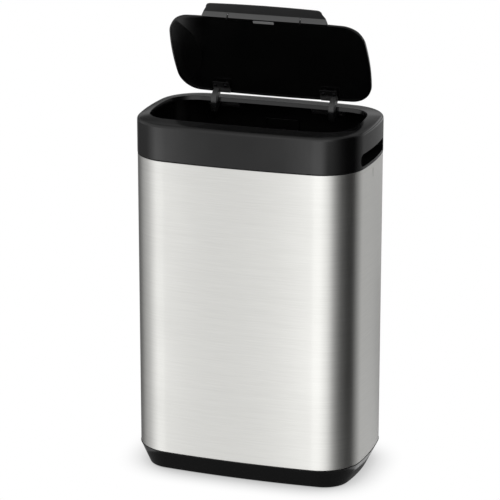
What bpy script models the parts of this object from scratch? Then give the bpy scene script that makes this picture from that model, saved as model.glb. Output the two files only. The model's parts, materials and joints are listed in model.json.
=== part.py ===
"""Free-standing waste bin: a brushed steel sleeve on a moulded base, with a lift-off
plastic collar that carries a hinged lid.

Metres, +Z up. The origin is on the floor under the middle of the steel body. The front faces -Y,
and +X is the right-hand side seen from the front. The lid is modelled open, as the bin is shown.
"""
import math

import bmesh
import bpy
from mathutils import Vector

# Driving dimensions: body
BODY_WIDTH = 0.390
BODY_DEPTH = 0.2416
BODY_FRONT_BOW = 0.0115
BODY_SIDE_BOW = 0.0157
BODY_CORNER = 0.0712
SLEEVE_BOTTOM = 0.0369
SLEEVE_TOP = 0.5379
SLEEVE_WALL = 0.0010
GAP = 0.0003
WELD = 0.000003
OVERRUN = 0.010

# Driving dimensions: collar and its opening
COLLAR_PROUD = 0.0004
COLLAR_WALL = 0.0025
SHOULDER_TOP = 0.5983
CREST_TOP = 0.6035
DECK_SIDE = 0.0215
DECK_FRONT = 0.0267
DECK_REAR = 0.0467
OPENING_WIDTH = BODY_WIDTH - 2 * DECK_SIDE
OPENING_DEPTH = BODY_DEPTH - DECK_FRONT - DECK_REAR
OPENING_OFFSET = (DECK_FRONT - DECK_REAR) / 2
OPENING_FRONT_BOW = 0.0050
OPENING_SIDE_BOW = 0.0120
OPENING_CORNER = 0.0450

# Driving dimensions: lid and hinge
LID_END_CLEARANCE = 0.0032
LID_EDGE_CLEARANCE = 0.0054
LID_WIDTH = OPENING_WIDTH - 2 * LID_END_CLEARANCE
LID_DEPTH = OPENING_DEPTH - 2 * LID_EDGE_CLEARANCE
LID_FRONT_BOW = 0.0033
LID_SIDE_BOW = 0.0081
LID_CORNER = 0.0383
LID_FORWARD = 0.0009
LID_RIM_DROP = 0.00205
LID_OPEN_ANGLE = math.radians(64.4)
HINGE_SETBACK = 0.0074
HINGE_DROP = 0.0085
ARM_INSET = 0.0683
ARM_MIDDLE = LID_WIDTH / 2 - ARM_INSET
PIN_RADIUS = 0.0020

# Facets of the rounded outlines, counted on a quarter
FRONT_STEPS = 4
CORNER_STEPS = 9
SIDE_STEPS = 3
ROUND_STEPS = 20
SCREW_STEPS = 12
OBLONG_STEPS = 4


def clear_scene():
    """Empties the file of whatever it holds."""
    for old in list(bpy.data.objects):
        bpy.data.objects.remove(old, do_unlink=True)


class Outline:
    """A rounded oblong whose four sides bow outwards, made of tangent arcs."""

    def __init__(self, half_width, half_depth, front_radius, side_radius, corner_radius, centre_y=0.0):
        self.half_width = half_width
        self.half_depth = half_depth
        self.front_radius = front_radius
        self.side_radius = side_radius
        self.corner_radius = corner_radius
        self.centre_y = centre_y

    def grown(self, amount):
        """The same outline moved outwards by an equal amount all round."""
        return Outline(self.half_width + amount, self.half_depth + amount, self.front_radius + amount,
                       self.side_radius + amount, self.corner_radius + amount, self.centre_y)

    def quarter(self):
        """Points from the middle of the rear side to the middle of the right side."""
        rear_centre = self.half_depth - self.front_radius
        side_centre = self.half_width - self.side_radius
        reach_rear = self.front_radius - self.corner_radius
        reach_side = self.side_radius - self.corner_radius
        span = math.hypot(side_centre, rear_centre)
        along = (reach_rear ** 2 - reach_side ** 2 + span ** 2) / (2 * span)
        off = math.sqrt(reach_rear ** 2 - along ** 2)
        unit = Vector((side_centre, -rear_centre)) / span
        corner = Vector((0.0, rear_centre)) + unit * along + Vector((unit.y, -unit.x)) * off
        rear_turn = math.atan2(corner.y - rear_centre, corner.x)
        side_turn = math.atan2(corner.y, corner.x - side_centre)
        points = arc((0.0, rear_centre), self.front_radius, math.pi / 2, rear_turn, FRONT_STEPS)
        points += arc(corner, self.corner_radius, rear_turn, side_turn, CORNER_STEPS)[1:]
        points += arc((side_centre, 0.0), self.side_radius, side_turn, 0.0, SIDE_STEPS)[1:]
        return points

    def points(self):
        """The whole outline, clockwise from the middle of the rear side."""
        right_rear = self.quarter()
        right_front = [(x, -y) for x, y in reversed(right_rear[:-1])]
        right = right_rear + right_front
        left = [(-x, y) for x, y in reversed(right[1:-1])]
        return [(x, y + self.centre_y) for x, y in right + left]

    def loop(self, height):
        """The outline as a closed loop of points at one height."""
        return [Vector((x, y, height)) for x, y in self.points()]

    def half_width_at(self, y):
        """Where the right-hand side crosses a given y."""
        side = self.quarter()
        aside = abs(y - self.centre_y)
        for (x0, y0), (x1, y1) in zip(side, side[1:]):
            if y1 <= aside <= y0:
                return x0 + (x1 - x0) * (y0 - aside) / (y0 - y1)
        return 0.0

    def half_depth_at(self, x):
        """How far the front and rear lie from the middle at a given x."""
        side = self.quarter()
        for (x0, y0), (x1, y1) in zip(side, side[1:]):
            if x0 <= abs(x) <= x1:
                return y0 + (y1 - y0) * (abs(x) - x0) / (x1 - x0)
        return 0.0


def arc(centre, radius, start, end, steps):
    """Points on an arc, both ends included."""
    turns = [start + (end - start) * step / steps for step in range(steps + 1)]
    return [(centre[0] + radius * math.cos(turn), centre[1] + radius * math.sin(turn)) for turn in turns]


def circle(centre, radius, steps):
    """Points round a full circle, with flats rather than corners on the axes."""
    half_step = math.pi / steps
    return arc(centre, radius, half_step, 2 * math.pi + half_step, steps)[:-1]


def bowed(width, depth, front_bow, side_bow, corner_radius, centre_y=0.0):
    """An outline from its overall size and the rise of its bowed sides."""
    half_width = width / 2
    half_depth = depth / 2
    front_radius = (half_width ** 2 + front_bow ** 2) / (2 * front_bow)
    side_radius = (half_depth ** 2 + side_bow ** 2) / (2 * side_bow)
    return Outline(half_width, half_depth, front_radius, side_radius, corner_radius, centre_y)


def rounded_oblong(low, high, radius, steps):
    """Points of an upright rectangle with round corners, given two opposite corners."""
    corners = [((high[0] - radius, high[1] - radius), 0), ((low[0] + radius, high[1] - radius), 1),
               ((low[0] + radius, low[1] + radius), 2), ((high[0] - radius, low[1] + radius), 3)]
    points = []
    for centre, turn in corners:
        points += arc(centre, radius, turn * math.pi / 2, (turn + 1) * math.pi / 2, steps)
    return points


def blend(first, second, share):
    """A loop part of the way from one loop to another."""
    return [a.lerp(b, share) for a, b in zip(first, second)]


def loft(loops, ring=False):
    """Extrudes an edge loop from each loop of points to the next, then closes the body."""
    shape = bmesh.new()
    verts = [shape.verts.new(point) for point in loops[0]]
    first = verts
    edges = [shape.edges.new((verts[index - 1], verts[index])) for index in range(len(verts))]
    for loop in loops[1:] + ([loops[0]] if ring else []):
        made = bmesh.ops.extrude_edge_only(shape, edges=edges)["geom"]
        fresh = {item for item in made if isinstance(item, bmesh.types.BMVert)}
        verts = [next(edge.other_vert(vert) for edge in vert.link_edges if edge.other_vert(vert) in fresh)
                 for vert in verts]
        for vert, point in zip(verts, loop):
            vert.co = point
        edges = [shape.edges.get((verts[index - 1], verts[index])) for index in range(len(verts))]
    if ring:
        bmesh.ops.remove_doubles(shape, verts=shape.verts[:], dist=WELD)
    else:
        shape.faces.new(first)
        shape.faces.new(verts)
    bmesh.ops.recalc_face_normals(shape, faces=shape.faces[:])
    return shape


def bar(profile, start, end):
    """Extrudes a profile of (y, z) points along X."""
    return loft([[Vector((x, y, z)) for y, z in profile] for x in (start, end)])


def block(low, high):
    """A plain box between two corners."""
    profile = [(low[1], low[2]), (high[1], low[2]), (high[1], high[2]), (low[1], high[2])]
    return bar(profile, low[0], high[0])


def rod(centre, radius, start, end, steps=ROUND_STEPS):
    """A round bar along X, centred on a (y, z) point."""
    return bar(circle(centre, radius, steps), start, end)


def post(centre, radius, low, high, steps=ROUND_STEPS):
    """An upright round bar."""
    return loft([[Vector((x, y, z)) for x, y in circle(centre, radius, steps)] for z in (low, high)])


def joined(shapes):
    """Gathers separate bodies into one mesh."""
    whole = bmesh.new()
    for shape in shapes:
        mesh = bpy.data.meshes.new("gathered")
        shape.to_mesh(mesh)
        shape.free()
        whole.from_mesh(mesh)
        bpy.data.meshes.remove(mesh)
    return whole


def planed(shape, point, normal):
    """Cuts away what lies beyond a plane and closes the cut."""
    everything = shape.verts[:] + shape.edges[:] + shape.faces[:]
    cut = bmesh.ops.bisect_plane(shape, geom=everything, dist=WELD, plane_co=point, plane_no=normal,
                                 clear_outer=True)
    rim = [item for item in cut["geom_cut"] if isinstance(item, bmesh.types.BMEdge)]
    if rim:
        bmesh.ops.contextual_create(shape, geom=rim)
        bmesh.ops.recalc_face_normals(shape, faces=shape.faces[:])


def finish(name, colour, roughness, metallic):
    """A plain surface finish."""
    material = bpy.data.materials.new(name)
    material.use_nodes = True
    shader = material.node_tree.nodes["Principled BSDF"]
    shader.inputs["Base Color"].default_value = (*colour, 1.0)
    shader.inputs["Roughness"].default_value = roughness
    shader.inputs["Metallic"].default_value = metallic
    return material


STEEL = ((0.62, 0.61, 0.59), 0.33, 1.0)
BLACK_PLASTIC = ((0.012, 0.012, 0.013), 0.38, 0.0)
BLACK_RUBBER = ((0.02, 0.02, 0.02), 0.8, 0.0)
GREY_PAD = ((0.28, 0.28, 0.28), 0.6, 0.0)
ZINC = ((0.55, 0.56, 0.58), 0.4, 1.0)
SMOOTH_ANGLE = math.radians(28)
LID_SMOOTH_ANGLE = math.radians(4)


def piece(name, shape, look, carrier=None, smooth=SMOOTH_ANGLE):
    """Makes one named piece with its own finish, carried by an empty if one is given."""
    mesh = bpy.data.meshes.new(name)
    shape.to_mesh(mesh)
    shape.free()
    mesh.shade_smooth()
    mesh.set_sharp_from_angle(angle=smooth)
    mesh.materials.append(finish(name, *look))
    thing = bpy.data.objects.new(name, mesh)
    bpy.context.scene.collection.objects.link(thing)
    thing.parent = carrier
    return thing


def tool(name, shape, carrier=None):
    """Makes a hidden body that only adds to or cuts another piece."""
    mesh = bpy.data.meshes.new(name)
    shape.to_mesh(mesh)
    shape.free()
    thing = bpy.data.objects.new(name, mesh)
    bpy.context.scene.collection.objects.link(thing)
    thing.parent = carrier
    thing.hide_render = True
    thing.display_type = "WIRE"
    return thing


def combine(target, operation, helper):
    """Adds an exact Boolean of the target with a hidden body."""
    modifier = target.modifiers.new(helper.name, "BOOLEAN")
    modifier.operation = operation
    modifier.solver = "EXACT"
    modifier.object = helper


def screw(place, down, head_radius, head_height, shank_radius, shank_length):
    """A pan-head screw whose head seats at a point; down is -1 if the shank points down, or 1."""
    recess = head_radius / 3
    flat = head_radius * 3 / 4
    rings = [(shank_radius / 2, shank_length), (shank_radius, shank_length - shank_radius),
             (shank_radius, 0.0), (head_radius, 0.0), (head_radius, -head_height / 2),
             (flat, -head_height), (recess, -head_height), (recess, -head_height / 2)]
    loops = []
    for radius, travel in rings:
        loops.append([Vector((x, y, place[2] + down * travel))
                      for x, y in circle((place[0], place[1]), radius, SCREW_STEPS)])
    return loft(loops)


clear_scene()
body_line = bowed(BODY_WIDTH, BODY_DEPTH, BODY_FRONT_BOW, BODY_SIDE_BOW, BODY_CORNER)
opening_line = bowed(OPENING_WIDTH, OPENING_DEPTH, OPENING_FRONT_BOW, OPENING_SIDE_BOW, OPENING_CORNER,
                     OPENING_OFFSET)

# Moulded base: a dished tray whose wall tapers in to the floor, with an inner shelf for the sleeve
BASE_TAPER = 0.0165
BASE_FRONT_BOW = 0.0100
BASE_SIDE_BOW = 0.0149
BASE_CORNER = 0.0428
BASE_LIFT = 0.0015
BASE_WALL = 0.0025
BASE_FLOOR = 0.0035
BASE_PROUD = 0.0008
BASE_EDGE = 0.0010
SHELF_WIDTH = 0.0160
SHELF_THICKNESS = 0.0025
PAD_RADIUS = 0.0090
PAD_RECESS = 0.0017
PAD_SIDE_INSET = 0.0650
PAD_FRONT_INSET = 0.0508
BASE_SCREW_SIDE_INSET = 0.0750
BASE_SCREW_INSET = 0.0100
SCREW_SHANK = 0.0016
SCREW_HEAD = 0.0034
SCREW_HEAD_HEIGHT = 0.0018
SCREW_LENGTH = 0.0100
BOSS_RADIUS = 0.0040
BOSS_LENGTH = 0.0110
BOSS_INSET = 0.0004

shelf_top = SLEEVE_BOTTOM - GAP
base_ring = body_line.grown(BASE_PROUD)
foot_line = bowed(BODY_WIDTH - 2 * BASE_TAPER, BODY_DEPTH - 2 * BASE_TAPER, BASE_FRONT_BOW, BASE_SIDE_BOW,
                  BASE_CORNER)
base = piece("base_tray", loft([
    foot_line.loop(BASE_LIFT),
    base_ring.loop(shelf_top - BASE_EDGE),
    base_ring.grown(-BASE_EDGE / 2).loop(shelf_top),
    body_line.grown(-SHELF_WIDTH).loop(shelf_top),
    body_line.grown(-SHELF_WIDTH).loop(shelf_top - SHELF_THICKNESS),
    body_line.grown(-BASE_WALL).loop(shelf_top - SHELF_THICKNESS),
    foot_line.grown(-BASE_WALL).loop(BASE_LIFT + BASE_FLOOR),
]), BLACK_PLASTIC)

pad_x = BODY_WIDTH / 2 - PAD_SIDE_INSET
pad_y = BODY_DEPTH / 2 - PAD_FRONT_INSET
pad_places = {
    "front_left": (-pad_x, -pad_y), "front_right": (pad_x, -pad_y),
    "rear_left": (-pad_x, pad_y), "rear_right": (pad_x, pad_y),
}
pad_seat = BASE_LIFT + PAD_RECESS
recesses = [post(place, PAD_RADIUS + GAP, -OVERRUN, pad_seat) for place in pad_places.values()]
combine(base, "DIFFERENCE", tool("pad_recesses", joined(recesses)))
for side, place in pad_places.items():
    piece("foot_pad_" + side, post(place, PAD_RADIUS, 0.0, pad_seat - GAP), BLACK_RUBBER)

screw_line = body_line.grown(-BASE_SCREW_INSET)
screw_x = BODY_WIDTH / 2 - BASE_SCREW_SIDE_INSET
screw_y = screw_line.half_depth_at(screw_x)
base_screw_places = [(x, y) for x in (-screw_x, screw_x) for y in (-screw_y, screw_y)]
base_screw_places += [(-screw_line.half_width, 0.0), (screw_line.half_width, 0.0)]
boss_top = shelf_top - SHELF_THICKNESS
bosses = [post(place, BOSS_RADIUS, shelf_top - BOSS_LENGTH, boss_top + BOSS_INSET)
          for place in base_screw_places]
combine(base, "UNION", tool("base_bosses", joined(bosses)))
head_seat = SLEEVE_BOTTOM + SLEEVE_WALL + GAP
bores = [post(place, SCREW_SHANK + GAP, head_seat - SCREW_LENGTH - GAP, head_seat + OVERRUN, SCREW_STEPS)
         for place in base_screw_places]
base_bores = tool("base_bores", joined(bores))
combine(base, "DIFFERENCE", base_bores)

# Steel sleeve: one rolled sheet, open at both ends, with a flange turned in at the bottom
FLANGE_WIDTH = 0.0145
SLOT_HEIGHT = 0.0150
SLOT_WIDTH = 0.0014
SLOT_DROP = 0.0151
SLOT_FORWARD = -0.0100

sleeve_inside = body_line.grown(-SLEEVE_WALL)
sleeve = piece("body_sleeve", loft([
    body_line.loop(SLEEVE_BOTTOM),
    body_line.loop(SLEEVE_TOP),
    sleeve_inside.loop(SLEEVE_TOP),
    sleeve_inside.loop(SLEEVE_BOTTOM + SLEEVE_WALL),
    body_line.grown(-FLANGE_WIDTH).loop(SLEEVE_BOTTOM + SLEEVE_WALL),
    body_line.grown(-FLANGE_WIDTH).loop(SLEEVE_BOTTOM),
], ring=True), STEEL)
combine(sleeve, "DIFFERENCE", base_bores)
slot_reach = BODY_WIDTH / 2 + OVERRUN
slot_front, slot_back = SLOT_FORWARD - SLOT_WIDTH / 2, SLOT_FORWARD + SLOT_WIDTH / 2
slot_bottom = SLEEVE_TOP - SLOT_DROP - SLOT_HEIGHT / 2
slot_top = slot_bottom + SLOT_HEIGHT
combine(sleeve, "DIFFERENCE", tool("sleeve_slots", block((-slot_reach, slot_front, slot_bottom),
                                                         (slot_reach, slot_back, slot_top))))
for number, (x, y) in enumerate(base_screw_places, 1):
    piece(f"base_screw_{number}", screw((x, y, head_seat), -1, SCREW_HEAD, SCREW_HEAD_HEIGHT, SCREW_SHANK,
                                        SCREW_LENGTH), ZINC)

# Rim frame: a plastic ring snapped into the top of the sleeve; the bag's edge folds over it
FRAME_FLANGE = 0.0012
FRAME_WALL = 0.0020
FRAME_CLEARANCE = 0.0004
FRAME_SKIRT = 0.0410
NIB_PROUD_SHARE = 0.8
TAB_WIDTH = 0.0560
TAB_WALL = 0.0020
TAB_STAND = 0.0045
TAB_TOP = 0.5640
TAB_ROOT = 0.0120

frame_bottom = SLEEVE_TOP + GAP
frame_top = frame_bottom + FRAME_FLANGE
skirt_outer = sleeve_inside.grown(-FRAME_CLEARANCE)
skirt_inner = skirt_outer.grown(-FRAME_WALL)
rim_frame = piece("rim_frame", loft([
    body_line.loop(frame_bottom),
    body_line.loop(frame_top),
    skirt_inner.loop(frame_top),
    skirt_inner.loop(frame_bottom - FRAME_SKIRT),
    skirt_outer.loop(frame_bottom - FRAME_SKIRT),
    skirt_outer.loop(frame_bottom),
], ring=True), BLACK_PLASTIC)
nib_reach = sleeve_inside.half_width_at(SLOT_FORWARD) + SLEEVE_WALL * NIB_PROUD_SHARE
nib_root = skirt_inner.half_width_at(SLOT_FORWARD) + FRAME_WALL / 2
nibs = []
for sign in (-1, 1):
    near, far = sorted((sign * nib_root, sign * nib_reach))
    nibs.append(block((near, slot_front + GAP, slot_bottom + GAP), (far, slot_back - GAP, slot_top - GAP)))
combine(rim_frame, "UNION", tool("frame_nibs", joined(nibs)))
tab_front = skirt_inner.half_depth - TAB_STAND
tab_back = tab_front + TAB_WALL
tab_root = skirt_inner.half_depth + FRAME_WALL / 2
tab = [(tab_front, frame_top - TAB_ROOT), (tab_root, frame_top - TAB_ROOT), (tab_root, frame_bottom),
       (tab_back, frame_bottom), (tab_back, TAB_TOP), (tab_front, TAB_TOP)]
combine(rim_frame, "UNION", tool("frame_tab", bar(tab, -TAB_WIDTH / 2, TAB_WIDTH / 2)))

# Hinge axis and the carriers of the moving bodies
rear_crest = OPENING_OFFSET + OPENING_DEPTH / 2
HINGE_Y = rear_crest + HINGE_SETBACK
HINGE_Z = CREST_TOP - HINGE_DROP
collar_carrier = bpy.data.objects.new("collar_lift", None)
lid_carrier = bpy.data.objects.new("lid_hinge", None)
for carrier in (collar_carrier, lid_carrier):
    bpy.context.scene.collection.objects.link(carrier)
lid_carrier.parent = collar_carrier
lid_carrier.location = (0.0, HINGE_Y, HINGE_Z)
lid_carrier.rotation_euler = (-LID_OPEN_ANGLE, 0.0, 0.0)

# Collar: outer wall, sloping deck and an inner lip round the opening
DECK_THICKNESS = 0.0022
EDGE_ROUND = 0.0060
UNDER_ROUND = 0.0035
EDGE_HALF_SHARE = 0.3
CREST_ROUND = 0.0010
CREST_WIDTH = 0.0035
LIP_DEPTH = 0.0070
LIP_WALL = 0.0024
LIP_DRAFT = 0.0013
LEDGE_WIDTH = 0.0026
LEDGE_THICKNESS = 0.0013
DECK_MIDDLE_SHARE = 0.5
DECK_SWELL = 0.0005

collar_line = body_line.grown(COLLAR_PROUD)
collar_inside = collar_line.grown(-COLLAR_WALL)
ledge_bottom = frame_top + GAP
ledge_top = ledge_bottom + LEDGE_THICKNESS
deck_edge = collar_line.grown(-EDGE_ROUND).loop(SHOULDER_TOP)
deck_crest = opening_line.grown(CREST_WIDTH).loop(CREST_TOP - CREST_ROUND / 2)
deck_halfway = blend(deck_edge, deck_crest, DECK_MIDDLE_SHARE)
deck_middle = [point + Vector((0.0, 0.0, DECK_SWELL)) for point in deck_halfway]
lip_bottom = CREST_TOP - LIP_DEPTH
under_crest = opening_line.grown(LIP_WALL).loop(CREST_TOP - CREST_ROUND / 2 - DECK_THICKNESS)
under_edge = collar_inside.grown(-UNDER_ROUND).loop(SHOULDER_TOP - DECK_THICKNESS)
collar = piece("collar", loft([
    collar_line.loop(ledge_bottom),
    collar_line.loop(SHOULDER_TOP - EDGE_ROUND),
    collar_line.grown(-EDGE_ROUND * EDGE_HALF_SHARE).loop(SHOULDER_TOP - EDGE_ROUND * EDGE_HALF_SHARE),
    deck_edge,
    deck_middle,
    deck_crest,
    opening_line.grown(CREST_ROUND).loop(CREST_TOP),
    opening_line.loop(CREST_TOP - CREST_ROUND),
    opening_line.grown(-LIP_DRAFT).loop(lip_bottom),
    opening_line.grown(LIP_WALL - LIP_DRAFT).loop(lip_bottom),
    under_crest,
    under_edge,
    collar_inside.loop(SHOULDER_TOP - DECK_THICKNESS - UNDER_ROUND),
    collar_inside.loop(ledge_top),
    collar_inside.grown(-LEDGE_WIDTH).loop(ledge_top),
    collar_inside.grown(-LEDGE_WIDTH).loop(ledge_bottom),
], ring=True), BLACK_PLASTIC, collar_carrier)


def under_deck(x, y):
    """Height of the deck's underside over a point behind the opening."""
    near = OPENING_OFFSET + opening_line.grown(LIP_WALL).half_depth_at(x)
    far = collar_inside.grown(-UNDER_ROUND).half_depth_at(x)
    share = min(max((y - near) / (far - near), 0.0), 1.0)
    top = CREST_TOP - CREST_ROUND / 2 - DECK_THICKNESS
    return top + (SHOULDER_TOP - DECK_THICKNESS - top) * share


# Finger recesses: a flared cut in each side of the collar with a cup clipped in behind it
RECESS_END_MARGIN = 0.0578
RECESS_LENGTH = BODY_DEPTH - 2 * RECESS_END_MARGIN
RECESS_BOTTOM = 0.5455
RECESS_TOP = 0.5670
RECESS_CORNER = 0.0080
RECESS_FLARE = 0.0030
CUP_DEPTH = 0.0230
CUP_WALL = 0.0012
CUP_MARGIN = 0.0014
CUP_TAPER = 0.0015


def recess_loop(sign, offset, margin):
    """A round-cornered oblong on the collar's side, set in or out by offset and larger by margin."""
    low = (-RECESS_LENGTH / 2 - margin, RECESS_BOTTOM - margin)
    high = (RECESS_LENGTH / 2 + margin, RECESS_TOP + margin)
    face = rounded_oblong(low, high, RECESS_CORNER + margin, OBLONG_STEPS)
    return [Vector((sign * (collar_line.half_width_at(y) + offset), y, z)) for y, z in face]


recess_cuts = []
for sign, side in ((-1, "left"), (1, "right")):
    recess_cuts.append(loft([
        recess_loop(sign, -COLLAR_WALL - OVERRUN, 0.0),
        recess_loop(sign, -COLLAR_WALL, 0.0),
        recess_loop(sign, 0.0, RECESS_FLARE),
        recess_loop(sign, OVERRUN, RECESS_FLARE),
    ]))
    mouth = -COLLAR_WALL - GAP
    piece("grip_cup_" + side, loft([
        recess_loop(sign, mouth - CUP_DEPTH, CUP_MARGIN - CUP_TAPER),
        recess_loop(sign, mouth, CUP_MARGIN),
        recess_loop(sign, mouth, CUP_MARGIN - CUP_WALL),
        recess_loop(sign, mouth - CUP_DEPTH + CUP_WALL, CUP_MARGIN - CUP_TAPER - CUP_WALL),
    ]), BLACK_PLASTIC, collar_carrier)
combine(collar, "DIFFERENCE", tool("recess_cuts", joined(recess_cuts), collar_carrier))

# Lid: a shallow arched shell with sloping ends
LID_RIM_HEIGHT = 0.0040
LID_WALL = 0.0025
LID_CROWN = 0.0050
LID_END_LENGTH = 0.0490
LID_ARCH_STEPS = 12

lid_y = OPENING_OFFSET - LID_FORWARD - HINGE_Y
lid_z = CREST_TOP - LID_RIM_DROP - HINGE_Z
lid_line = bowed(LID_WIDTH, LID_DEPTH, LID_FRONT_BOW, LID_SIDE_BOW, LID_CORNER, lid_y)


def lid_top(y):
    """Height of the lid's arched top over its rim, at a distance from the lid's middle."""
    return LID_RIM_HEIGHT + LID_CROWN * (1 - (2 * y / LID_DEPTH) ** 2)


def arched(line, low, lowered):
    """A solid under the lid's arch and end slopes, its top lowered by an amount."""
    high = lid_z + LID_RIM_HEIGHT + LID_CROWN + OVERRUN
    shape = loft([line.loop(low), line.loop(high)])
    for step in range(LID_ARCH_STEPS + 1):
        y = LID_DEPTH * (step / LID_ARCH_STEPS - 1 / 2)
        slope = 8 * LID_CROWN * y / LID_DEPTH ** 2
        planed(shape, (0.0, lid_y + y, lid_z + lid_top(y) - lowered), (0.0, slope, 1.0))
    for sign in (-1, 1):
        planed(shape, (sign * LID_WIDTH / 2, 0.0, lid_z + LID_RIM_HEIGHT - lowered),
               (sign * LID_CROWN / LID_END_LENGTH, 0.0, 1.0))
    return shape


lid = piece("lid_shell", arched(lid_line, lid_z, 0.0), BLACK_PLASTIC, lid_carrier, LID_SMOOTH_ANGLE)
lid_hollow = arched(lid_line.grown(-LID_WALL), lid_z - OVERRUN, LID_WALL)
combine(lid, "DIFFERENCE", tool("lid_hollow", lid_hollow, lid_carrier))

# Hinges: pinned brackets under the rear deck and swan-neck arms that reach round the rear lip
BRACKET_INNER_REACH = 0.0390
BRACKET_OUTER_REACH = 0.0160
BRACKET_BOTTOM_DROP = 0.0080
BRACKET_FRONT = 0.0040
BRACKET_CHAMFER = 0.0025
BRACKET_TOP_LENGTH = 0.0190
BRACKET_LENGTH = 0.0310
BRACKET_FOOT_DROP = 0.0015
ARM_WIDTH = 0.0095
ARM_HUB = 0.0038
ARM_INNER = 0.0125
ARM_OUTER = 0.0245
ARM_ROOT_TURN = math.radians(260)
ARM_HEEL_TURN = math.radians(279)
ARM_TIP_GAP = 0.0010
ARM_STEPS = 10
FOOT_THICKNESS = 0.0025
FOOT_BACK = 0.0018
FOOT_DEPTH = 0.0210
FOOT_INNER_REACH = 0.0240
FOOT_OUTER_REACH = 0.0060
FOOT_SCREW_INSET = 0.0070
FOOT_SCREW_OUTER_INSET = 0.0050
FOOT_SCREW_BACK = 0.0167
WASHER_WALL = 0.0010
WASHER_RADIUS = 0.0037
PIN_END = 0.0025
PIN_HEAD = 0.0032
PIN_HEAD_LENGTH = 0.0010
CLIP_WALL = 0.0008
CLIP_RADIUS = 0.0042
BRACKET_SCREW_INSET = 0.0060
SMALL_SHANK = 0.0013
SMALL_HEAD = 0.0030
SMALL_HEAD_HEIGHT = 0.0016
SMALL_LENGTH = 0.0080

axis = (HINGE_Y, HINGE_Z)
arm_near = ARM_MIDDLE - ARM_WIDTH / 2
arm_far = ARM_MIDDLE + ARM_WIDTH / 2
bracket_inner = ARM_MIDDLE - BRACKET_INNER_REACH
bracket_outer = ARM_MIDDLE + BRACKET_OUTER_REACH
foot_inner = ARM_MIDDLE - FOOT_INNER_REACH
foot_outer = ARM_MIDDLE + FOOT_OUTER_REACH
foot_screws = (foot_inner + FOOT_SCREW_INSET, foot_outer - FOOT_SCREW_OUTER_INSET)
slot_side = WASHER_WALL + 2 * GAP
foot_top = lid_z - GAP
foot_bottom = foot_top - FOOT_THICKNESS
foot_back = lid_y + LID_DEPTH / 2 - FOOT_BACK
foot_front = foot_back - FOOT_DEPTH
foot_profile = [(foot_front, foot_bottom), (foot_back, foot_bottom), (foot_back, foot_top),
                (foot_front, foot_top)]
foot_screw_y = lid_y + LID_DEPTH / 2 - FOOT_SCREW_BACK
foot_screw_reach = FOOT_THICKNESS + LID_WALL

inner_tip = math.pi - math.asin(foot_bottom / ARM_INNER)
outer_tip = math.pi - math.asin(foot_bottom / ARM_OUTER)
hub_start = ARM_ROOT_TURN - math.pi / 4
arm_profile = arc((0.0, 0.0), ARM_INNER, inner_tip, ARM_ROOT_TURN, ARM_STEPS)
arm_profile += arc((0.0, 0.0), ARM_HUB, hub_start, hub_start - 3 * math.pi / 2, ARM_STEPS)
arm_profile += arc((0.0, 0.0), ARM_OUTER, ARM_HEEL_TURN, outer_tip, ARM_STEPS)
arm_profile += [(-ARM_OUTER, foot_top), (-ARM_INNER - ARM_TIP_GAP, foot_top)]

bracket_bottom = HINGE_Z - BRACKET_BOTTOM_DROP
bracket_front = HINGE_Y - BRACKET_FRONT
bracket_back = bracket_front + BRACKET_LENGTH
bracket_step = bracket_front + BRACKET_TOP_LENGTH
bracket_low_top = HINGE_Z - BRACKET_FOOT_DROP
top_front = under_deck(bracket_outer, bracket_front) - GAP
top_step = under_deck(bracket_outer, bracket_step) - GAP
bracket_profile = [
    (bracket_front, top_front), (bracket_front, bracket_bottom + BRACKET_CHAMFER),
    (bracket_front + BRACKET_CHAMFER, bracket_bottom), (bracket_back, bracket_bottom),
    (bracket_back, bracket_low_top), (bracket_step, bracket_low_top), (bracket_step, top_step)]
bracket_screw_y = (bracket_step + bracket_back) / 2
bracket_screws = (bracket_inner + BRACKET_SCREW_INSET, bracket_outer - BRACKET_SCREW_INSET)


def across(sign, *places):
    """Places along X on one side of the bin, in rising order."""
    return sorted(sign * place for place in places)


def turned(sign, rings, ring=False):
    """A body turned about the hinge axis from places along it and the radius at each."""
    loops = []
    for place, radius in rings:
        loops.append([Vector((sign * place, y, z)) for y, z in circle(axis, radius, ROUND_STEPS)])
    return loft(loops, ring)


def washer(sign, place, wall, radius):
    """A flat ring that fits over the hinge pin."""
    hole = PIN_RADIUS + GAP
    return turned(sign, [(place, hole), (place, radius), (place + wall, radius), (place + wall, hole)], True)


def small_screw(place, seat, length):
    """A small pan-head screw driven upwards."""
    return screw((*place, seat), 1, SMALL_HEAD, SMALL_HEAD_HEIGHT, SMALL_SHANK, length)


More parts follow.
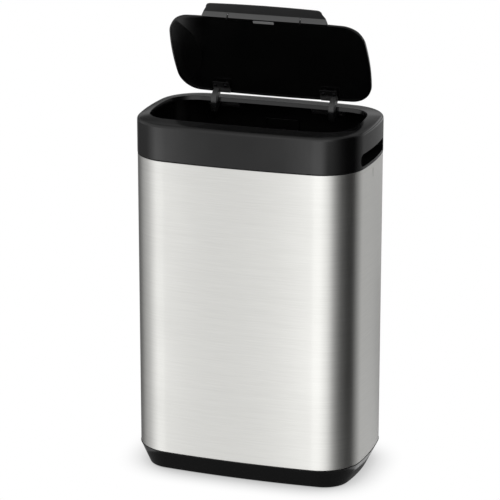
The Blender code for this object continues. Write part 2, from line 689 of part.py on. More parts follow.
deck_bosses = []
deck_bores = []
lid_bosses = []
lid_bores = []
for sign, side in ((-1, "left"), (1, "right")):
    ends = across(sign, bracket_inner, bracket_outer)
    bracket = piece("hinge_bracket_" + side, bar(bracket_profile, *ends), BLACK_PLASTIC, collar_carrier)
    slot_start, slot_end = across(sign, arm_near - slot_side, arm_far + slot_side)
    slot = block((slot_start, bracket_front - OVERRUN, bracket_bottom - OVERRUN),
                 (slot_end, bracket_step - BRACKET_CHAMFER, CREST_TOP))
    combine(bracket, "DIFFERENCE", tool("bracket_slot_" + side, slot, collar_carrier))
    pin_bore = rod(axis, PIN_RADIUS + GAP, *across(sign, bracket_inner - OVERRUN, bracket_outer + OVERRUN))
    combine(bracket, "DIFFERENCE", tool("pin_bore_" + side, pin_bore, collar_carrier))
    holes = [post((sign * x, bracket_screw_y), SMALL_SHANK + GAP, bracket_bottom - OVERRUN, CREST_TOP,
                  SCREW_STEPS) for x in bracket_screws]
    combine(bracket, "DIFFERENCE", tool("bracket_holes_" + side, joined(holes), collar_carrier))
    for x, end_name in zip(bracket_screws, ("inner", "outer")):
        place = (sign * x, bracket_screw_y)
        bracket_screw = small_screw(place, bracket_bottom - GAP, SMALL_LENGTH)
        piece(f"bracket_screw_{side}_{end_name}", bracket_screw, ZINC, collar_carrier)
        boss_reach = under_deck(x, bracket_screw_y) + BOSS_INSET
        deck_bosses.append(post(place, BOSS_RADIUS, bracket_low_top + GAP, boss_reach))
        deck_bores.append(post(place, SMALL_SHANK + GAP, bracket_low_top - GAP,
                               bracket_bottom + SMALL_LENGTH + GAP, SCREW_STEPS))

    pin_head = bracket_inner - GAP
    pin = turned(sign, [(pin_head - PIN_HEAD_LENGTH, PIN_HEAD), (pin_head, PIN_HEAD), (pin_head, PIN_RADIUS),
                        (bracket_outer + PIN_END, PIN_RADIUS)])
    piece("hinge_pin_" + side, pin, ZINC, collar_carrier)
    clip = washer(sign, bracket_outer + GAP, CLIP_WALL, CLIP_RADIUS)
    piece("pin_clip_" + side, clip, ZINC, collar_carrier)
    for place, end_name in ((arm_near - GAP - WASHER_WALL, "inner"), (arm_far + GAP, "outer")):
        friction = washer(sign, place, WASHER_WALL, WASHER_RADIUS)
        piece(f"friction_washer_{side}_{end_name}", friction, BLACK_RUBBER, collar_carrier)

    arm = piece("hinge_arm_" + side, bar(arm_profile, *across(sign, arm_near, arm_far)), BLACK_PLASTIC,
                lid_carrier)
    foot = bar(foot_profile, *across(sign, foot_inner, foot_outer))
    combine(arm, "UNION", tool("arm_foot_" + side, foot, lid_carrier))
    arm_bore = rod((0.0, 0.0), PIN_RADIUS + GAP, *across(sign, arm_near - OVERRUN, arm_far + OVERRUN))
    combine(arm, "DIFFERENCE", tool("arm_bore_" + side, arm_bore, lid_carrier))
    holes = [post((sign * x, foot_screw_y), SMALL_SHANK + GAP, foot_bottom - OVERRUN, foot_top + OVERRUN,
                  SCREW_STEPS) for x in foot_screws]
    combine(arm, "DIFFERENCE", tool("foot_holes_" + side, joined(holes), lid_carrier))
    for x, end_name in zip(foot_screws, ("inner", "outer")):
        place = (sign * x, foot_screw_y)
        arm_screw = small_screw(place, foot_bottom - GAP, foot_screw_reach)
        piece(f"arm_screw_{side}_{end_name}", arm_screw, ZINC, lid_carrier)
        boss_reach = lid_z + lid_top(LID_DEPTH / 2 - FOOT_SCREW_BACK) - LID_WALL + BOSS_INSET
        lid_bosses.append(post(place, BOSS_RADIUS, lid_z, boss_reach))
        lid_bores.append(post(place, SMALL_SHANK + GAP, lid_z - GAP, foot_bottom + foot_screw_reach,
                              SCREW_STEPS))

combine(collar, "UNION", tool("deck_bosses", joined(deck_bosses), collar_carrier))
combine(collar, "DIFFERENCE", tool("deck_bores", joined(deck_bores), collar_carrier))
combine(lid, "UNION", tool("lid_bosses", joined(lid_bosses), lid_carrier))
combine(lid, "DIFFERENCE", tool("lid_bores", joined(lid_bores), lid_carrier))

# Lid handle: a bent lip clamped to the lid's front edge by two clips
HANDLE_END_INSET = 0.0633
HANDLE_FOLD_TAPER = 0.0030
HANDLE_TIP_TAPER = 0.0080
HANDLE_BASE_WIDTH = LID_WIDTH - 2 * HANDLE_END_INSET
HANDLE_FOLD_WIDTH = HANDLE_BASE_WIDTH - 2 * HANDLE_FOLD_TAPER
HANDLE_TIP_WIDTH = HANDLE_BASE_WIDTH - 2 * HANDLE_TIP_TAPER
HANDLE_REACH = 0.0228
HANDLE_FOLD = 0.0048
HANDLE_RISE = 0.0072
HANDLE_TIP_RISE = 0.0080
HANDLE_OVERLAP = 0.0127
HANDLE_WALL = 0.0022
HANDLE_CORNER = 0.0070
HANDLE_BOW = 0.0020
BOW_STEPS = 8
CLIP_END_INSET = 0.0450
CLIP_SPACING = HANDLE_BASE_WIDTH - 2 * CLIP_END_INSET
CLIP_WIDTH = 0.0018
CLIP_SLOT = 0.0053
CLIP_THICKNESS = 0.0012
CLIP_JAW = 0.0025

lid_front = lid_y - LID_DEPTH / 2
handle_back = lid_front + HANDLE_OVERLAP
fold_y = lid_front - HANDLE_FOLD
tip_y = lid_front - HANDLE_REACH
under = [(handle_back, lid_z + lid_top(handle_back - lid_y) + GAP),
         (lid_front + HANDLE_OVERLAP / 2, lid_z + lid_top(lid_front + HANDLE_OVERLAP / 2 - lid_y) + GAP),
         (lid_front - GAP, lid_z + LID_RIM_HEIGHT + GAP),
         (fold_y, lid_z + HANDLE_RISE),
         (tip_y, lid_z + HANDLE_TIP_RISE)]
over = [(y, z + HANDLE_WALL) for y, z in reversed(under)]
handle = piece("lid_handle", bar(under + over, -HANDLE_BASE_WIDTH, HANDLE_BASE_WIDTH), BLACK_PLASTIC,
               lid_carrier)
bow_radius = ((HANDLE_TIP_WIDTH / 2) ** 2 + HANDLE_BOW ** 2) / (2 * HANDLE_BOW)
bow_turn = math.asin((HANDLE_TIP_WIDTH / 2 - HANDLE_CORNER) / bow_radius)
corner_x = HANDLE_TIP_WIDTH / 2 - HANDLE_CORNER
corner_y = tip_y + HANDLE_CORNER + HANDLE_BOW
forward = 3 * math.pi / 2
edge = [(HANDLE_FOLD_WIDTH / 2, fold_y), (HANDLE_BASE_WIDTH / 2, lid_front),
        (HANDLE_BASE_WIDTH / 2, handle_back)]
bow = arc((0.0, tip_y + bow_radius), bow_radius, forward - bow_turn, forward + bow_turn, BOW_STEPS)
plan = [(-x, y) for x, y in reversed(edge)]
plan += arc((-corner_x, corner_y), HANDLE_CORNER, math.pi, forward - bow_turn, OBLONG_STEPS)
plan += bow[1:-1]
plan += arc((corner_x, corner_y), HANDLE_CORNER, forward + bow_turn, 2 * math.pi, OBLONG_STEPS)
plan += edge
plan_prism = loft([[Vector((x, y, z)) for x, y in plan] for z in (lid_z - OVERRUN, lid_z + 2 * OVERRUN)])
combine(handle, "INTERSECT", tool("handle_plan", plan_prism, lid_carrier))

jaw_back = lid_front + CLIP_JAW
clip_inside = lid_front - 2 * GAP
clip_outside = clip_inside - CLIP_THICKNESS
clip_reach = lid_front - CLIP_SLOT + GAP
clip_low = lid_z - GAP
clip_high = lid_z + lid_top(jaw_back - lid_y) + HANDLE_WALL + 2 * GAP
clip_profile = [
    (clip_outside, clip_low - CLIP_THICKNESS), (jaw_back, clip_low - CLIP_THICKNESS), (jaw_back, clip_low),
    (clip_inside, clip_low), (clip_inside, clip_high), (jaw_back, clip_high),
    (jaw_back, clip_high + CLIP_THICKNESS), (clip_reach, clip_high + CLIP_THICKNESS),
    (clip_reach, clip_high), (clip_outside, clip_high)]
slots = []
for x, side in ((-CLIP_SPACING / 2, "left"), (CLIP_SPACING / 2, "right")):
    slots.append(block((x - CLIP_WIDTH / 2 - GAP, lid_front - CLIP_SLOT, lid_z),
                       (x + CLIP_WIDTH / 2 + GAP, lid_front - GAP, lid_z + 2 * OVERRUN)))
    clip = bar(clip_profile, x - CLIP_WIDTH / 2, x + CLIP_WIDTH / 2)
    piece("handle_clip_" + side, clip, BLACK_PLASTIC, lid_carrier)
combine(handle, "DIFFERENCE", tool("handle_slots", joined(slots), lid_carrier))

# Lid bumper: a soft grey strip under the lid's front edge, and the collar's rest for it
BUMPER_WIDTH = 0.0350
BUMPER_DEPTH = 0.0045
BUMPER_BACK = 0.0010
BUMPER_DROP = 0.0018
BUMPER_KEY = 0.0012
REST_WIDTH = 0.0400
REST_THICKNESS = 0.0023
REST_SPARE = 0.0015

bumper_front = lid_front + BUMPER_BACK
bumper_rear = bumper_front + BUMPER_DEPTH
key_front = lid_front + LID_WALL + GAP
bumper_low = lid_z - BUMPER_DROP
bumper_high = lid_z + BUMPER_KEY
bumper_profile = [(bumper_front, bumper_low), (bumper_rear, bumper_low), (bumper_rear, bumper_high),
                  (key_front, bumper_high), (key_front, lid_z - GAP), (bumper_front, lid_z - GAP)]
piece("lid_bumper", bar(bumper_profile, -BUMPER_WIDTH / 2, BUMPER_WIDTH / 2), GREY_PAD, lid_carrier)
rest_top = HINGE_Z + bumper_low - GAP
rest_front = OPENING_OFFSET - OPENING_DEPTH / 2 - LIP_WALL / 2
rest = block((-REST_WIDTH / 2, rest_front, rest_top - REST_THICKNESS),
             (REST_WIDTH / 2, HINGE_Y + bumper_rear + REST_SPARE, rest_top))
combine(collar, "UNION", tool("bumper_rest", rest, collar_carrier))
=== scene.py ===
"""The looks of a free-standing waste bin: a brushed steel sleeve on a black moulded base, and a
black collar that lifts off with its hinged lid. The lid stands open.
"""
import json
import math

import bmesh
import bpy
from mathutils import Matrix, Vector


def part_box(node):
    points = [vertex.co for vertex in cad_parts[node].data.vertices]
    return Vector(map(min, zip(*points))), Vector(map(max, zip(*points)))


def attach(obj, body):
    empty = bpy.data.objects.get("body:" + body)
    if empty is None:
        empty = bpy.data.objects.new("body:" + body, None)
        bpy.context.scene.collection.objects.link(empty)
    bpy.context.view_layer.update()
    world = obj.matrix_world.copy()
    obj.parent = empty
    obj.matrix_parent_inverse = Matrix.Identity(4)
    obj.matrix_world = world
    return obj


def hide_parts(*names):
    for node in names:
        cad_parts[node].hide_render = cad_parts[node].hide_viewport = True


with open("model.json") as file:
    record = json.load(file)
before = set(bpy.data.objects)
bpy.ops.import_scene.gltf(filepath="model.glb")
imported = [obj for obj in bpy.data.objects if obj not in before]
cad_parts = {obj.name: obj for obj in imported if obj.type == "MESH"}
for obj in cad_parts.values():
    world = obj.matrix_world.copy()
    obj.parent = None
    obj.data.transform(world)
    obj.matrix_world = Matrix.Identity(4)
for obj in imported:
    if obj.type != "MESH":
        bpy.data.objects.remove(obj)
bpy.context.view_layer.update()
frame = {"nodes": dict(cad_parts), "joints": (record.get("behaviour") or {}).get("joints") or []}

# Camera: a long lens to the right of the bin's front and a little above its rim.
# The picture is 500 by 500 pixels, and the lens is given as pixels of focal length.
EYE = Vector((1.341, -3.967, 1.670))
CAMERA_BEARING = math.radians(18.91)
CAMERA_RISE = math.radians(17.27)
PICTURE_WIDTH = 500
FOCAL_PIXELS = 2650.8
SENSOR_WIDTH = 36

camera_data = bpy.data.cameras.new("camera")
camera_data.sensor_width = SENSOR_WIDTH
camera_data.lens = FOCAL_PIXELS * SENSOR_WIDTH / PICTURE_WIDTH
camera = bpy.data.objects.new("camera", camera_data)
camera.location = EYE
camera.rotation_euler = (math.pi / 2 - CAMERA_RISE, 0.0, CAMERA_BEARING)
bpy.context.scene.collection.objects.link(camera)
bpy.context.scene.camera = camera
bpy.context.scene.view_settings.view_transform = "Standard"

# Room: a white studio. Matt surfaces get an even soft light. Gloss and metal see tall white
# screens with dimmer gaps between them, and an unlit stretch to the bin's right.
# Bearings are counted in degrees from straight in front of the bin towards its right. Each row is
# a bearing, the brightness there, and the brightness in the low strip that upright gloss reflects.
ROOM_BRIGHTNESS = (
    (-180, 0.60, 0.25), (-124, 0.20, 0.10), (-98, 0.66, 0.26), (-79, 0.80, 0.45), (-64, 1.02, 1.10),
    (-50, 1.08, 2.00), (-29, 1.12, 2.00), (-27, 1.04, 0.90), (-20, 1.06, 0.80), (-12, 1.28, 0.70),
    (-9, 1.42, 2.00), (12, 1.44, 2.00), (30, 1.36, 0.52), (41, 0.86, 0.45), (46, 0.57, 0.36),
    (57, 0.22, 0.22), (68, 0.06, 0.08), (84, 0.00, 0.00), (107, 0.00, 0.00), (122, 0.29, 0.17),
    (142, 0.75, 0.36), (155, 0.92, 0.30), (180, 1.05, 0.27))
SCREEN_PEAK = 2.0
CEILING_FRONT = 0.75
CEILING_BACK = 0.35
CEILING_DEPTH = (-0.3, 0.1)
CEILING_FADE = (0.45, 0.85)
HORIZON_SHARE = 0.2
HORIZON_HEIGHT = 0.045
HORIZON_FADE = (0.04, 0.10)
BEHIND_FADE = (0.3, 0.7)
BACK_SHARE = 0.3
BACK_HEIGHT = (0.24, 0.34)
BACK_FADE = (0.5, 0.75)
STRIP_MIDDLE = -0.295
STRIP_HALF_HEIGHT = 0.06
STRIP_FADE = 0.05
FLOOR_BRIGHTNESS = 0.9
FLOOR_FADE = (0.55, 0.9)
EVEN_LIGHT = 1.0
BACKDROP = 1.0


def link(tree, source, target):
    """Feeds a socket from another one, or with a plain value."""
    if isinstance(source, bpy.types.NodeSocket):
        tree.links.new(source, target)
    else:
        target.default_value = source


def arithmetic(tree, operation, *values):
    """A maths node fed by sockets or numbers."""
    node = tree.nodes.new("ShaderNodeMath")
    node.operation = operation
    for socket, value in zip(node.inputs, values):
        link(tree, value, socket)
    return node.outputs[0]


def spread(tree, value, low, high, to_low, to_high):
    """Maps a value from one range to another, smoothly and within it."""
    node = tree.nodes.new("ShaderNodeMapRange")
    node.interpolation_type = "SMOOTHSTEP"
    for name, entry in (("From Min", low), ("From Max", high), ("To Min", to_low), ("To Max", to_high)):
        node.inputs[name].default_value = entry
    link(tree, value, node.inputs["Value"])
    return node.outputs["Result"]


def towards(tree, share, start, end):
    """A value that goes from one to another as a share rises."""
    node = tree.nodes.new("ShaderNodeMix")
    for name, value in (("Factor", share), ("A", start), ("B", end)):
        link(tree, value, node.inputs[name])
    return node.outputs["Result"]


def either(tree, share, first, second):
    """Mixes two shaders: the first where the share is nought, the second where it is one."""
    node = tree.nodes.new("ShaderNodeMixShader")
    for source, target in zip((share, first, second), node.inputs):
        link(tree, source, target)
    return node.outputs[0]


room = bpy.data.worlds.new("studio")
room.use_nodes = True
bpy.context.scene.world = room
tree = room.node_tree
tree.nodes.clear()
parts = tree.nodes.new("ShaderNodeSeparateXYZ")
link(tree, tree.nodes.new("ShaderNodeTexCoord").outputs["Generated"], parts.inputs[0])
across, along, up = (parts.outputs[axis] for axis in "XYZ")
bearing = arithmetic(tree, "ARCTAN2", across, arithmetic(tree, "MULTIPLY", along, -1.0))
turn = arithmetic(tree, "MULTIPLY_ADD", bearing, 1 / (2 * math.pi), 0.5)
screens = tree.nodes.new("ShaderNodeValToRGB")
link(tree, turn, screens.inputs["Fac"])
stops = screens.color_ramp.elements
while len(stops) < len(ROOM_BRIGHTNESS):
    stops.new(0.5)
for stop, (degrees, wide, low) in zip(stops, ROOM_BRIGHTNESS):
    stop.position = degrees / 360 + 0.5
    stop.color = (wide / SCREEN_PEAK, low / SCREEN_PEAK, 0.0, 1.0)
off_horizon = arithmetic(tree, "ABSOLUTE", arithmetic(tree, "SUBTRACT", up, HORIZON_HEIGHT))
horizon = spread(tree, off_horizon, *HORIZON_FADE, HORIZON_SHARE - 1.0, 0.0)
behind = spread(tree, along, *BEHIND_FADE, 0.0, 1.0)
near_horizon = arithmetic(tree, "MULTIPLY_ADD", horizon, behind, 1.0)
upper = spread(tree, up, *BACK_HEIGHT, 0.0, BACK_SHARE - 1.0)
far = spread(tree, along, *BACK_FADE, 0.0, 1.0)
dimming = arithmetic(tree, "MULTIPLY", near_horizon, arithmetic(tree, "MULTIPLY_ADD", upper, far, 1.0))
shares = tree.nodes.new("ShaderNodeSeparateColor")
link(tree, screens.outputs["Color"], shares.inputs[0])
off_strip = arithmetic(tree, "ABSOLUTE", arithmetic(tree, "SUBTRACT", up, STRIP_MIDDLE))
strip = spread(tree, off_strip, STRIP_HALF_HEIGHT, STRIP_HALF_HEIGHT + STRIP_FADE, 1.0, 0.0)
screens_seen = towards(tree, strip, shares.outputs["Red"], shares.outputs["Green"])
walls = arithmetic(tree, "MULTIPLY", arithmetic(tree, "MULTIPLY", screens_seen, SCREEN_PEAK), dimming)
above = spread(tree, up, *CEILING_FADE, 0.0, 1.0)
below = spread(tree, arithmetic(tree, "MULTIPLY", up, -1.0), *FLOOR_FADE, 0.0, 1.0)
ceiling = spread(tree, along, *CEILING_DEPTH, CEILING_FRONT, CEILING_BACK)
seen_in_gloss = towards(tree, below, towards(tree, above, walls, ceiling), FLOOR_BRIGHTNESS)
lights = []
for strength in (EVEN_LIGHT, seen_in_gloss, BACKDROP):
    light = tree.nodes.new("ShaderNodeBackground")
    light.inputs["Color"].default_value = (1.0, 1.0, 1.0, 1.0)
    link(tree, strength, light.inputs["Strength"])
    lights.append(light.outputs[0])
path = tree.nodes.new("ShaderNodeLightPath").outputs
lighting = either(tree, path["Is Glossy Ray"], lights[0], lights[1])
shown = either(tree, path["Is Camera Ray"], lighting, lights[2])
link(tree, shown, tree.nodes.new("ShaderNodeOutputWorld").inputs["Surface"])

# Floor: a white sheet. Near the bin its glow is dimmed by an occlusion test, a painted shadow for the soft
# dark line where the bin comes down to it. Gloss close to it sees a dim glow, a painted shade for that shaded
# part, and gloss further off sees the room.
FLOOR_SIZE = 40.0
SHADOW_REACH = 0.055
SHADOW_DEPTH = 0.55
SHADED_GLOSS = 0.14
GLOSS_REACH = 0.045
FLOOR_WHITE = 0.8
NEARNESS_SAMPLES = 16

floor_shape = bmesh.new()
bmesh.ops.create_grid(floor_shape, x_segments=1, y_segments=1, size=FLOOR_SIZE / 2)
floor_mesh = bpy.data.meshes.new("floor")
floor_shape.to_mesh(floor_mesh)
floor_shape.free()
floor = bpy.data.objects.new("floor", floor_mesh)
bpy.context.scene.collection.objects.link(floor)
floor_finish = bpy.data.materials.new("white_floor")
floor_finish.use_nodes = True
tree = floor_finish.node_tree
tree.nodes.clear()
# Painted shadow: the floor's glow dims where an occlusion test finds the bin close by.
nearness = tree.nodes.new("ShaderNodeAmbientOcclusion")
nearness.inputs["Distance"].default_value = SHADOW_REACH
nearness.samples = NEARNESS_SAMPLES
shade = spread(tree, nearness.outputs["AO"], 0.0, 1.0, 1.0 - SHADOW_DEPTH, 1.0)
glow = tree.nodes.new("ShaderNodeEmission")
link(tree, shade, glow.inputs["Strength"])
matt = tree.nodes.new("ShaderNodeBsdfDiffuse")
matt.inputs["Color"].default_value = (FLOOR_WHITE, FLOOR_WHITE, FLOOR_WHITE, 1.0)
# Painted shade: the dim glow that gloss close to the floor sees in place of the shaded floor.
shaded = tree.nodes.new("ShaderNodeEmission")
shaded.inputs["Strength"].default_value = SHADED_GLOSS
path = tree.nodes.new("ShaderNodeLightPath").outputs
close = arithmetic(tree, "LESS_THAN", path["Ray Length"], GLOSS_REACH)
in_gloss = either(tree, close, tree.nodes.new("ShaderNodeBsdfTransparent").outputs[0], shaded.outputs[0])
seen = either(tree, path["Is Camera Ray"], matt.outputs[0], glow.outputs[0])
whole = either(tree, path["Is Glossy Ray"], seen, in_gloss)
link(tree, whole, tree.nodes.new("ShaderNodeOutputMaterial").inputs["Surface"])
floor_mesh.materials.append(floor_finish)

# Moulded base: one black polypropylene tray. Its wall slopes in to the floor, and a shelf inside
# carries the steel sleeve, which six screws hold down on bosses.
sleeve_low, sleeve_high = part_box("body_sleeve")
base_low, base_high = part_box("base_tray")
BODY_FRONT_BOW = 0.0115
BODY_SIDE_BOW = 0.0157
BODY_CORNER = 0.0712
BASE_TAPER = 0.0165
BASE_FRONT_BOW = 0.0100
BASE_SIDE_BOW = 0.0149
BASE_CORNER = 0.0428
BASE_WALL = 0.0025
BASE_FLOOR = 0.0035
BASE_TOP_EDGE = 0.0008
BASE_FOOT_EDGE = 0.0012
SHELF_WIDTH = 0.0160
SHELF_THICKNESS = 0.0025
PAD_RECESS = 0.0017
BOSS_RADIUS = 0.0040
BOSS_LENGTH = 0.0110
BASE_SHANK = 0.0016
PLAY = 0.0003
SHUT = 0.00001
LIFT = 1.0
PATCH_SCALE = 14.0
FLOW_SCALE = 45.0
FLOW_BUMP = (0.02, 0.002)
GRAIN_SCALE = 1900.0
GRAIN_HEIGHT = 0.00004
NOISE_SPAN = (0.3, 0.7)
PLASTIC_IOR = 1.46
CORNERS = ("front_left", "front_right", "rear_left", "rear_right")
BASE_SCREWS = [f"base_screw_{number}" for number in range(1, 7)]


class Oblong:
    """A rounded oblong with bowed sides: three arcs to a quarter, from the rear middle to the side."""

    def __init__(self, half_width, half_depth, front_bow, side_bow, corner, middle=0.0, steps=(26, 26, 16)):
        long_radius = (half_width ** 2 + front_bow ** 2) / (2 * front_bow)
        side_radius = (half_depth ** 2 + side_bow ** 2) / (2 * side_bow)
        long_centre = Vector((0.0, half_depth - long_radius))
        side_centre = Vector((half_width - side_radius, 0.0))
        reach_long = long_radius - corner
        reach_side = side_radius - corner
        apart = side_centre - long_centre
        along = (reach_long ** 2 - reach_side ** 2 + apart.length_squared) / (2 * apart.length)
        off = math.sqrt(reach_long ** 2 - along ** 2)
        unit = apart.normalized()
        corner_centre = long_centre + unit * along + Vector((unit.y, -unit.x)) * off
        first = (corner_centre - long_centre).angle(Vector((0.0, 1.0)))
        last = (corner_centre - side_centre).angle(Vector((1.0, 0.0)))
        self.half_depth = half_depth
        self.half_width = half_width
        self.middle = middle
        self.arcs = ((long_centre, first, steps[0]), (corner_centre, math.pi / 2 - first - last, steps[1]),
                     (side_centre, last, steps[2]))


def corners(edges):
    """The vertices of edges, each once and always in the same order."""
    return list(dict.fromkeys(vert for edge in edges for vert in edge.verts))


def ring(shape, oblong, grow, height):
    """Draws an oblong, grown by an amount, as a closed loop of edges at a height."""
    known = set(shape.edges)
    tip = bmesh.ops.create_vert(shape, co=(0.0, oblong.half_depth + grow, height))["vert"]
    for centre, turn, steps in oblong.arcs:
        spun = bmesh.ops.spin(shape, geom=tip, cent=(centre.x, centre.y, height), axis=(0, 0, -1), angle=turn,
                              steps=steps, use_merge=False, use_duplicate=False)
        tip = [item for item in spun["geom_last"] if isinstance(item, bmesh.types.BMVert)]
    for axis in ("X", "Y"):
        fresh = [edge for edge in shape.edges if edge not in known]
        bmesh.ops.mirror(shape, geom=corners(fresh) + fresh, matrix=Matrix.Identity(4), merge_dist=SHUT,
                         axis=axis)
    fresh = [edge for edge in shape.edges if edge not in known]
    bmesh.ops.translate(shape, verts=corners(fresh), vec=(0.0, oblong.middle, 0.0))
    return fresh


def skin(shape, rings, closed=False):
    """Bridges each loop of edges to the next, and the last to the first if the section is closed.

    Each second loop is lifted away while it is bridged, so that level pairs aren't crossed over.
    """
    pairs = list(zip(rings, rings[1:]))
    if closed:
        pairs.append((rings[-1], rings[0]))
    for first, second in pairs:
        lifted = corners(second)
        bmesh.ops.translate(shape, verts=lifted, vec=(0.0, 0.0, LIFT))
        bmesh.ops.bridge_loops(shape, edges=first + second)
        bmesh.ops.translate(shape, verts=lifted, vec=(0.0, 0.0, -LIFT))


def shell(sections, closed=False):
    """Makes a skin over outlines, each an oblong, how far it grows and a height, and caps open ends."""
    shape = bmesh.new()
    rings = [ring(shape, *section) for section in sections]
    skin(shape, rings, closed)
    if not closed:
        bmesh.ops.contextual_create(shape, geom=rings[0])
        bmesh.ops.contextual_create(shape, geom=rings[-1])
    return shape, rings


def ease(shape, edges, radius, segments=3):
    """Rounds edges by a radius."""
    bmesh.ops.bevel(shape, geom=edges, offset=radius, offset_type="OFFSET", affect="EDGES", segments=segments,
                    profile=0.5, material=-1, clamp_overlap=True)


def move(shape, x, y, z):
    """Shifts a whole shape."""
    bmesh.ops.translate(shape, verts=shape.verts[:], vec=(x, y, z))


def block(low, high):
    """A box between two corners."""
    shape = bmesh.new()
    bmesh.ops.create_cube(shape, size=1.0)
    bmesh.ops.scale(shape, verts=shape.verts[:], vec=[b - a for a, b in zip(low, high)])
    move(shape, *[(a + b) / 2 for a, b in zip(low, high)])
    return shape


def post(place, radius, low, high, sides=32):
    """An upright round bar."""
    shape = bmesh.new()
    bmesh.ops.create_cone(shape, cap_ends=True, segments=sides, radius1=radius, radius2=radius,
                          depth=high - low)
    move(shape, place[0], place[1], (low + high) / 2)
    return shape


def carve(shape, tool, operation="DIFFERENCE"):
    """Cuts a body by another, joins them, or keeps what they share."""
    things = []
    for solid in (shape, tool):
        bmesh.ops.recalc_face_normals(solid, faces=solid.faces[:])
        mesh = bpy.data.meshes.new("carving")
        solid.to_mesh(mesh)
        things.append(bpy.data.objects.new("carving", mesh))
        bpy.context.scene.collection.objects.link(things[-1])
    cut = things[0].modifiers.new("cut", "BOOLEAN")
    cut.operation = operation
    cut.solver = "EXACT"
    cut.object = things[1]
    graph = bpy.context.evaluated_depsgraph_get()
    carved = bpy.data.meshes.new_from_object(things[0].evaluated_get(graph))
    shape.clear()
    shape.from_mesh(carved)
    tool.free()
    for thing in things:
        bpy.data.objects.remove(thing)


def dress(shape, name, body, replaced, finish, sharp=38):
    """Makes the finished piece, lets it ride on its body and stand for its solids."""
    bmesh.ops.recalc_face_normals(shape, faces=shape.faces[:])
    mesh = bpy.data.meshes.new(name)
    shape.to_mesh(mesh)
    shape.free()
    mesh.shade_smooth()
    mesh.set_sharp_from_angle(angle=math.radians(sharp))
    thing = bpy.data.objects.new(name, mesh)
    bpy.context.scene.collection.objects.link(thing)
    mesh.materials.append(finish)
    thing.modifiers.new("even_shading", "WEIGHTED_NORMAL").keep_sharp = True
    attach(thing, body)
    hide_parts(*replaced)


def new_finish(name):
    """A new material with its tree, its shader's sockets and the place on the piece."""
    material = bpy.data.materials.new(name)
    material.use_nodes = True
    tree = material.node_tree
    place = tree.nodes.new("ShaderNodeTexCoord").outputs["Object"]
    return material, tree, tree.nodes["Principled BSDF"].inputs, place


def noise(tree, place, scale, detail=2.0, roughness=0.5):
    """A noise pattern over a place."""
    node = tree.nodes.new("ShaderNodeTexNoise")
    for name, value in (("Scale", scale), ("Detail", detail), ("Roughness", roughness), ("Vector", place)):
        link(tree, value, node.inputs[name])
    return node.outputs["Fac"]


def tint(tree, share, dark, light):
    """A colour that goes from dark to light with a share."""
    node = tree.nodes.new("ShaderNodeMix")
    node.data_type = "RGBA"
    link(tree, share, node.inputs["Factor"])
    node.inputs[6].default_value = (*dark, 1.0)
    node.inputs[7].default_value = (*light, 1.0)
    return node.outputs[2]


def dent(tree, height, strength, distance, under=None):
    """A bump from a height, over another if one is given."""
    node = tree.nodes.new("ShaderNodeBump")
    node.inputs["Strength"].default_value = strength
    node.inputs["Distance"].default_value = distance
    link(tree, height, node.inputs["Height"])
    if under is not None:
        link(tree, under, node.inputs["Normal"])
    return node.outputs["Normal"]


def moulded_black(name, dark, light, gloss_low, gloss_high, grain):
    """Black moulded plastic: a fine even grain, faint flow marks and a few duller patches."""
    material, tree, shader, place = new_finish(name)
    patches = noise(tree, place, PATCH_SCALE, 4.0)
    link(tree, tint(tree, patches, dark, light), shader["Base Color"])
    link(tree, spread(tree, patches, *NOISE_SPAN, gloss_low, gloss_high), shader["Roughness"])
    normal = dent(tree, noise(tree, place, FLOW_SCALE, 3.0, 0.6), *FLOW_BUMP)
    link(tree, dent(tree, noise(tree, place, GRAIN_SCALE), grain, GRAIN_HEIGHT, normal), shader["Normal"])
    shader["IOR"].default_value = PLASTIC_IOR
    return material


body_line = Oblong(sleeve_high.x, sleeve_high.y, BODY_FRONT_BOW, BODY_SIDE_BOW, BODY_CORNER)
base_black = moulded_black("base_black", (0.0008, 0.0008, 0.0009), (0.0018, 0.0018, 0.0019), 0.20, 0.27, 0.22)
base_proud = base_high.x - body_line.half_width
shelf_low = base_high.z - SHELF_THICKNESS
foot_line = Oblong(sleeve_high.x - BASE_TAPER, sleeve_high.y - BASE_TAPER, BASE_FRONT_BOW, BASE_SIDE_BOW,
                   BASE_CORNER)
base, base_rings = shell((
    (foot_line, 0.0, base_low.z), (body_line, base_proud, base_high.z),
    (body_line, -SHELF_WIDTH, base_high.z), (body_line, -SHELF_WIDTH, shelf_low),
    (body_line, -BASE_WALL, shelf_low),
    (foot_line, -BASE_WALL, base_low.z + BASE_FLOOR)))
ease(base, base_rings[1], BASE_TOP_EDGE)
ease(base, base_rings[0], BASE_FOOT_EDGE)
ease(base, base_rings[2], BASE_TOP_EDGE, 2)
for corner in CORNERS:
    low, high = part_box("foot_pad_" + corner)
    carve(base, post((low + high) / 2, (high.x - low.x) / 2 + PLAY, low.z - PAD_RECESS, high.z + PLAY))
for node in BASE_SCREWS:
    low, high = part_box(node)
    place = (low + high) / 2
    carve(base, post(place, BOSS_RADIUS, base_high.z - BOSS_LENGTH, shelf_low + PLAY), "UNION")
    carve(base, post(place, BASE_SHANK + PLAY, low.z - PLAY, high.z + PLAY))
dress(base, "base_moulding", "body", ["base_tray"], base_black)

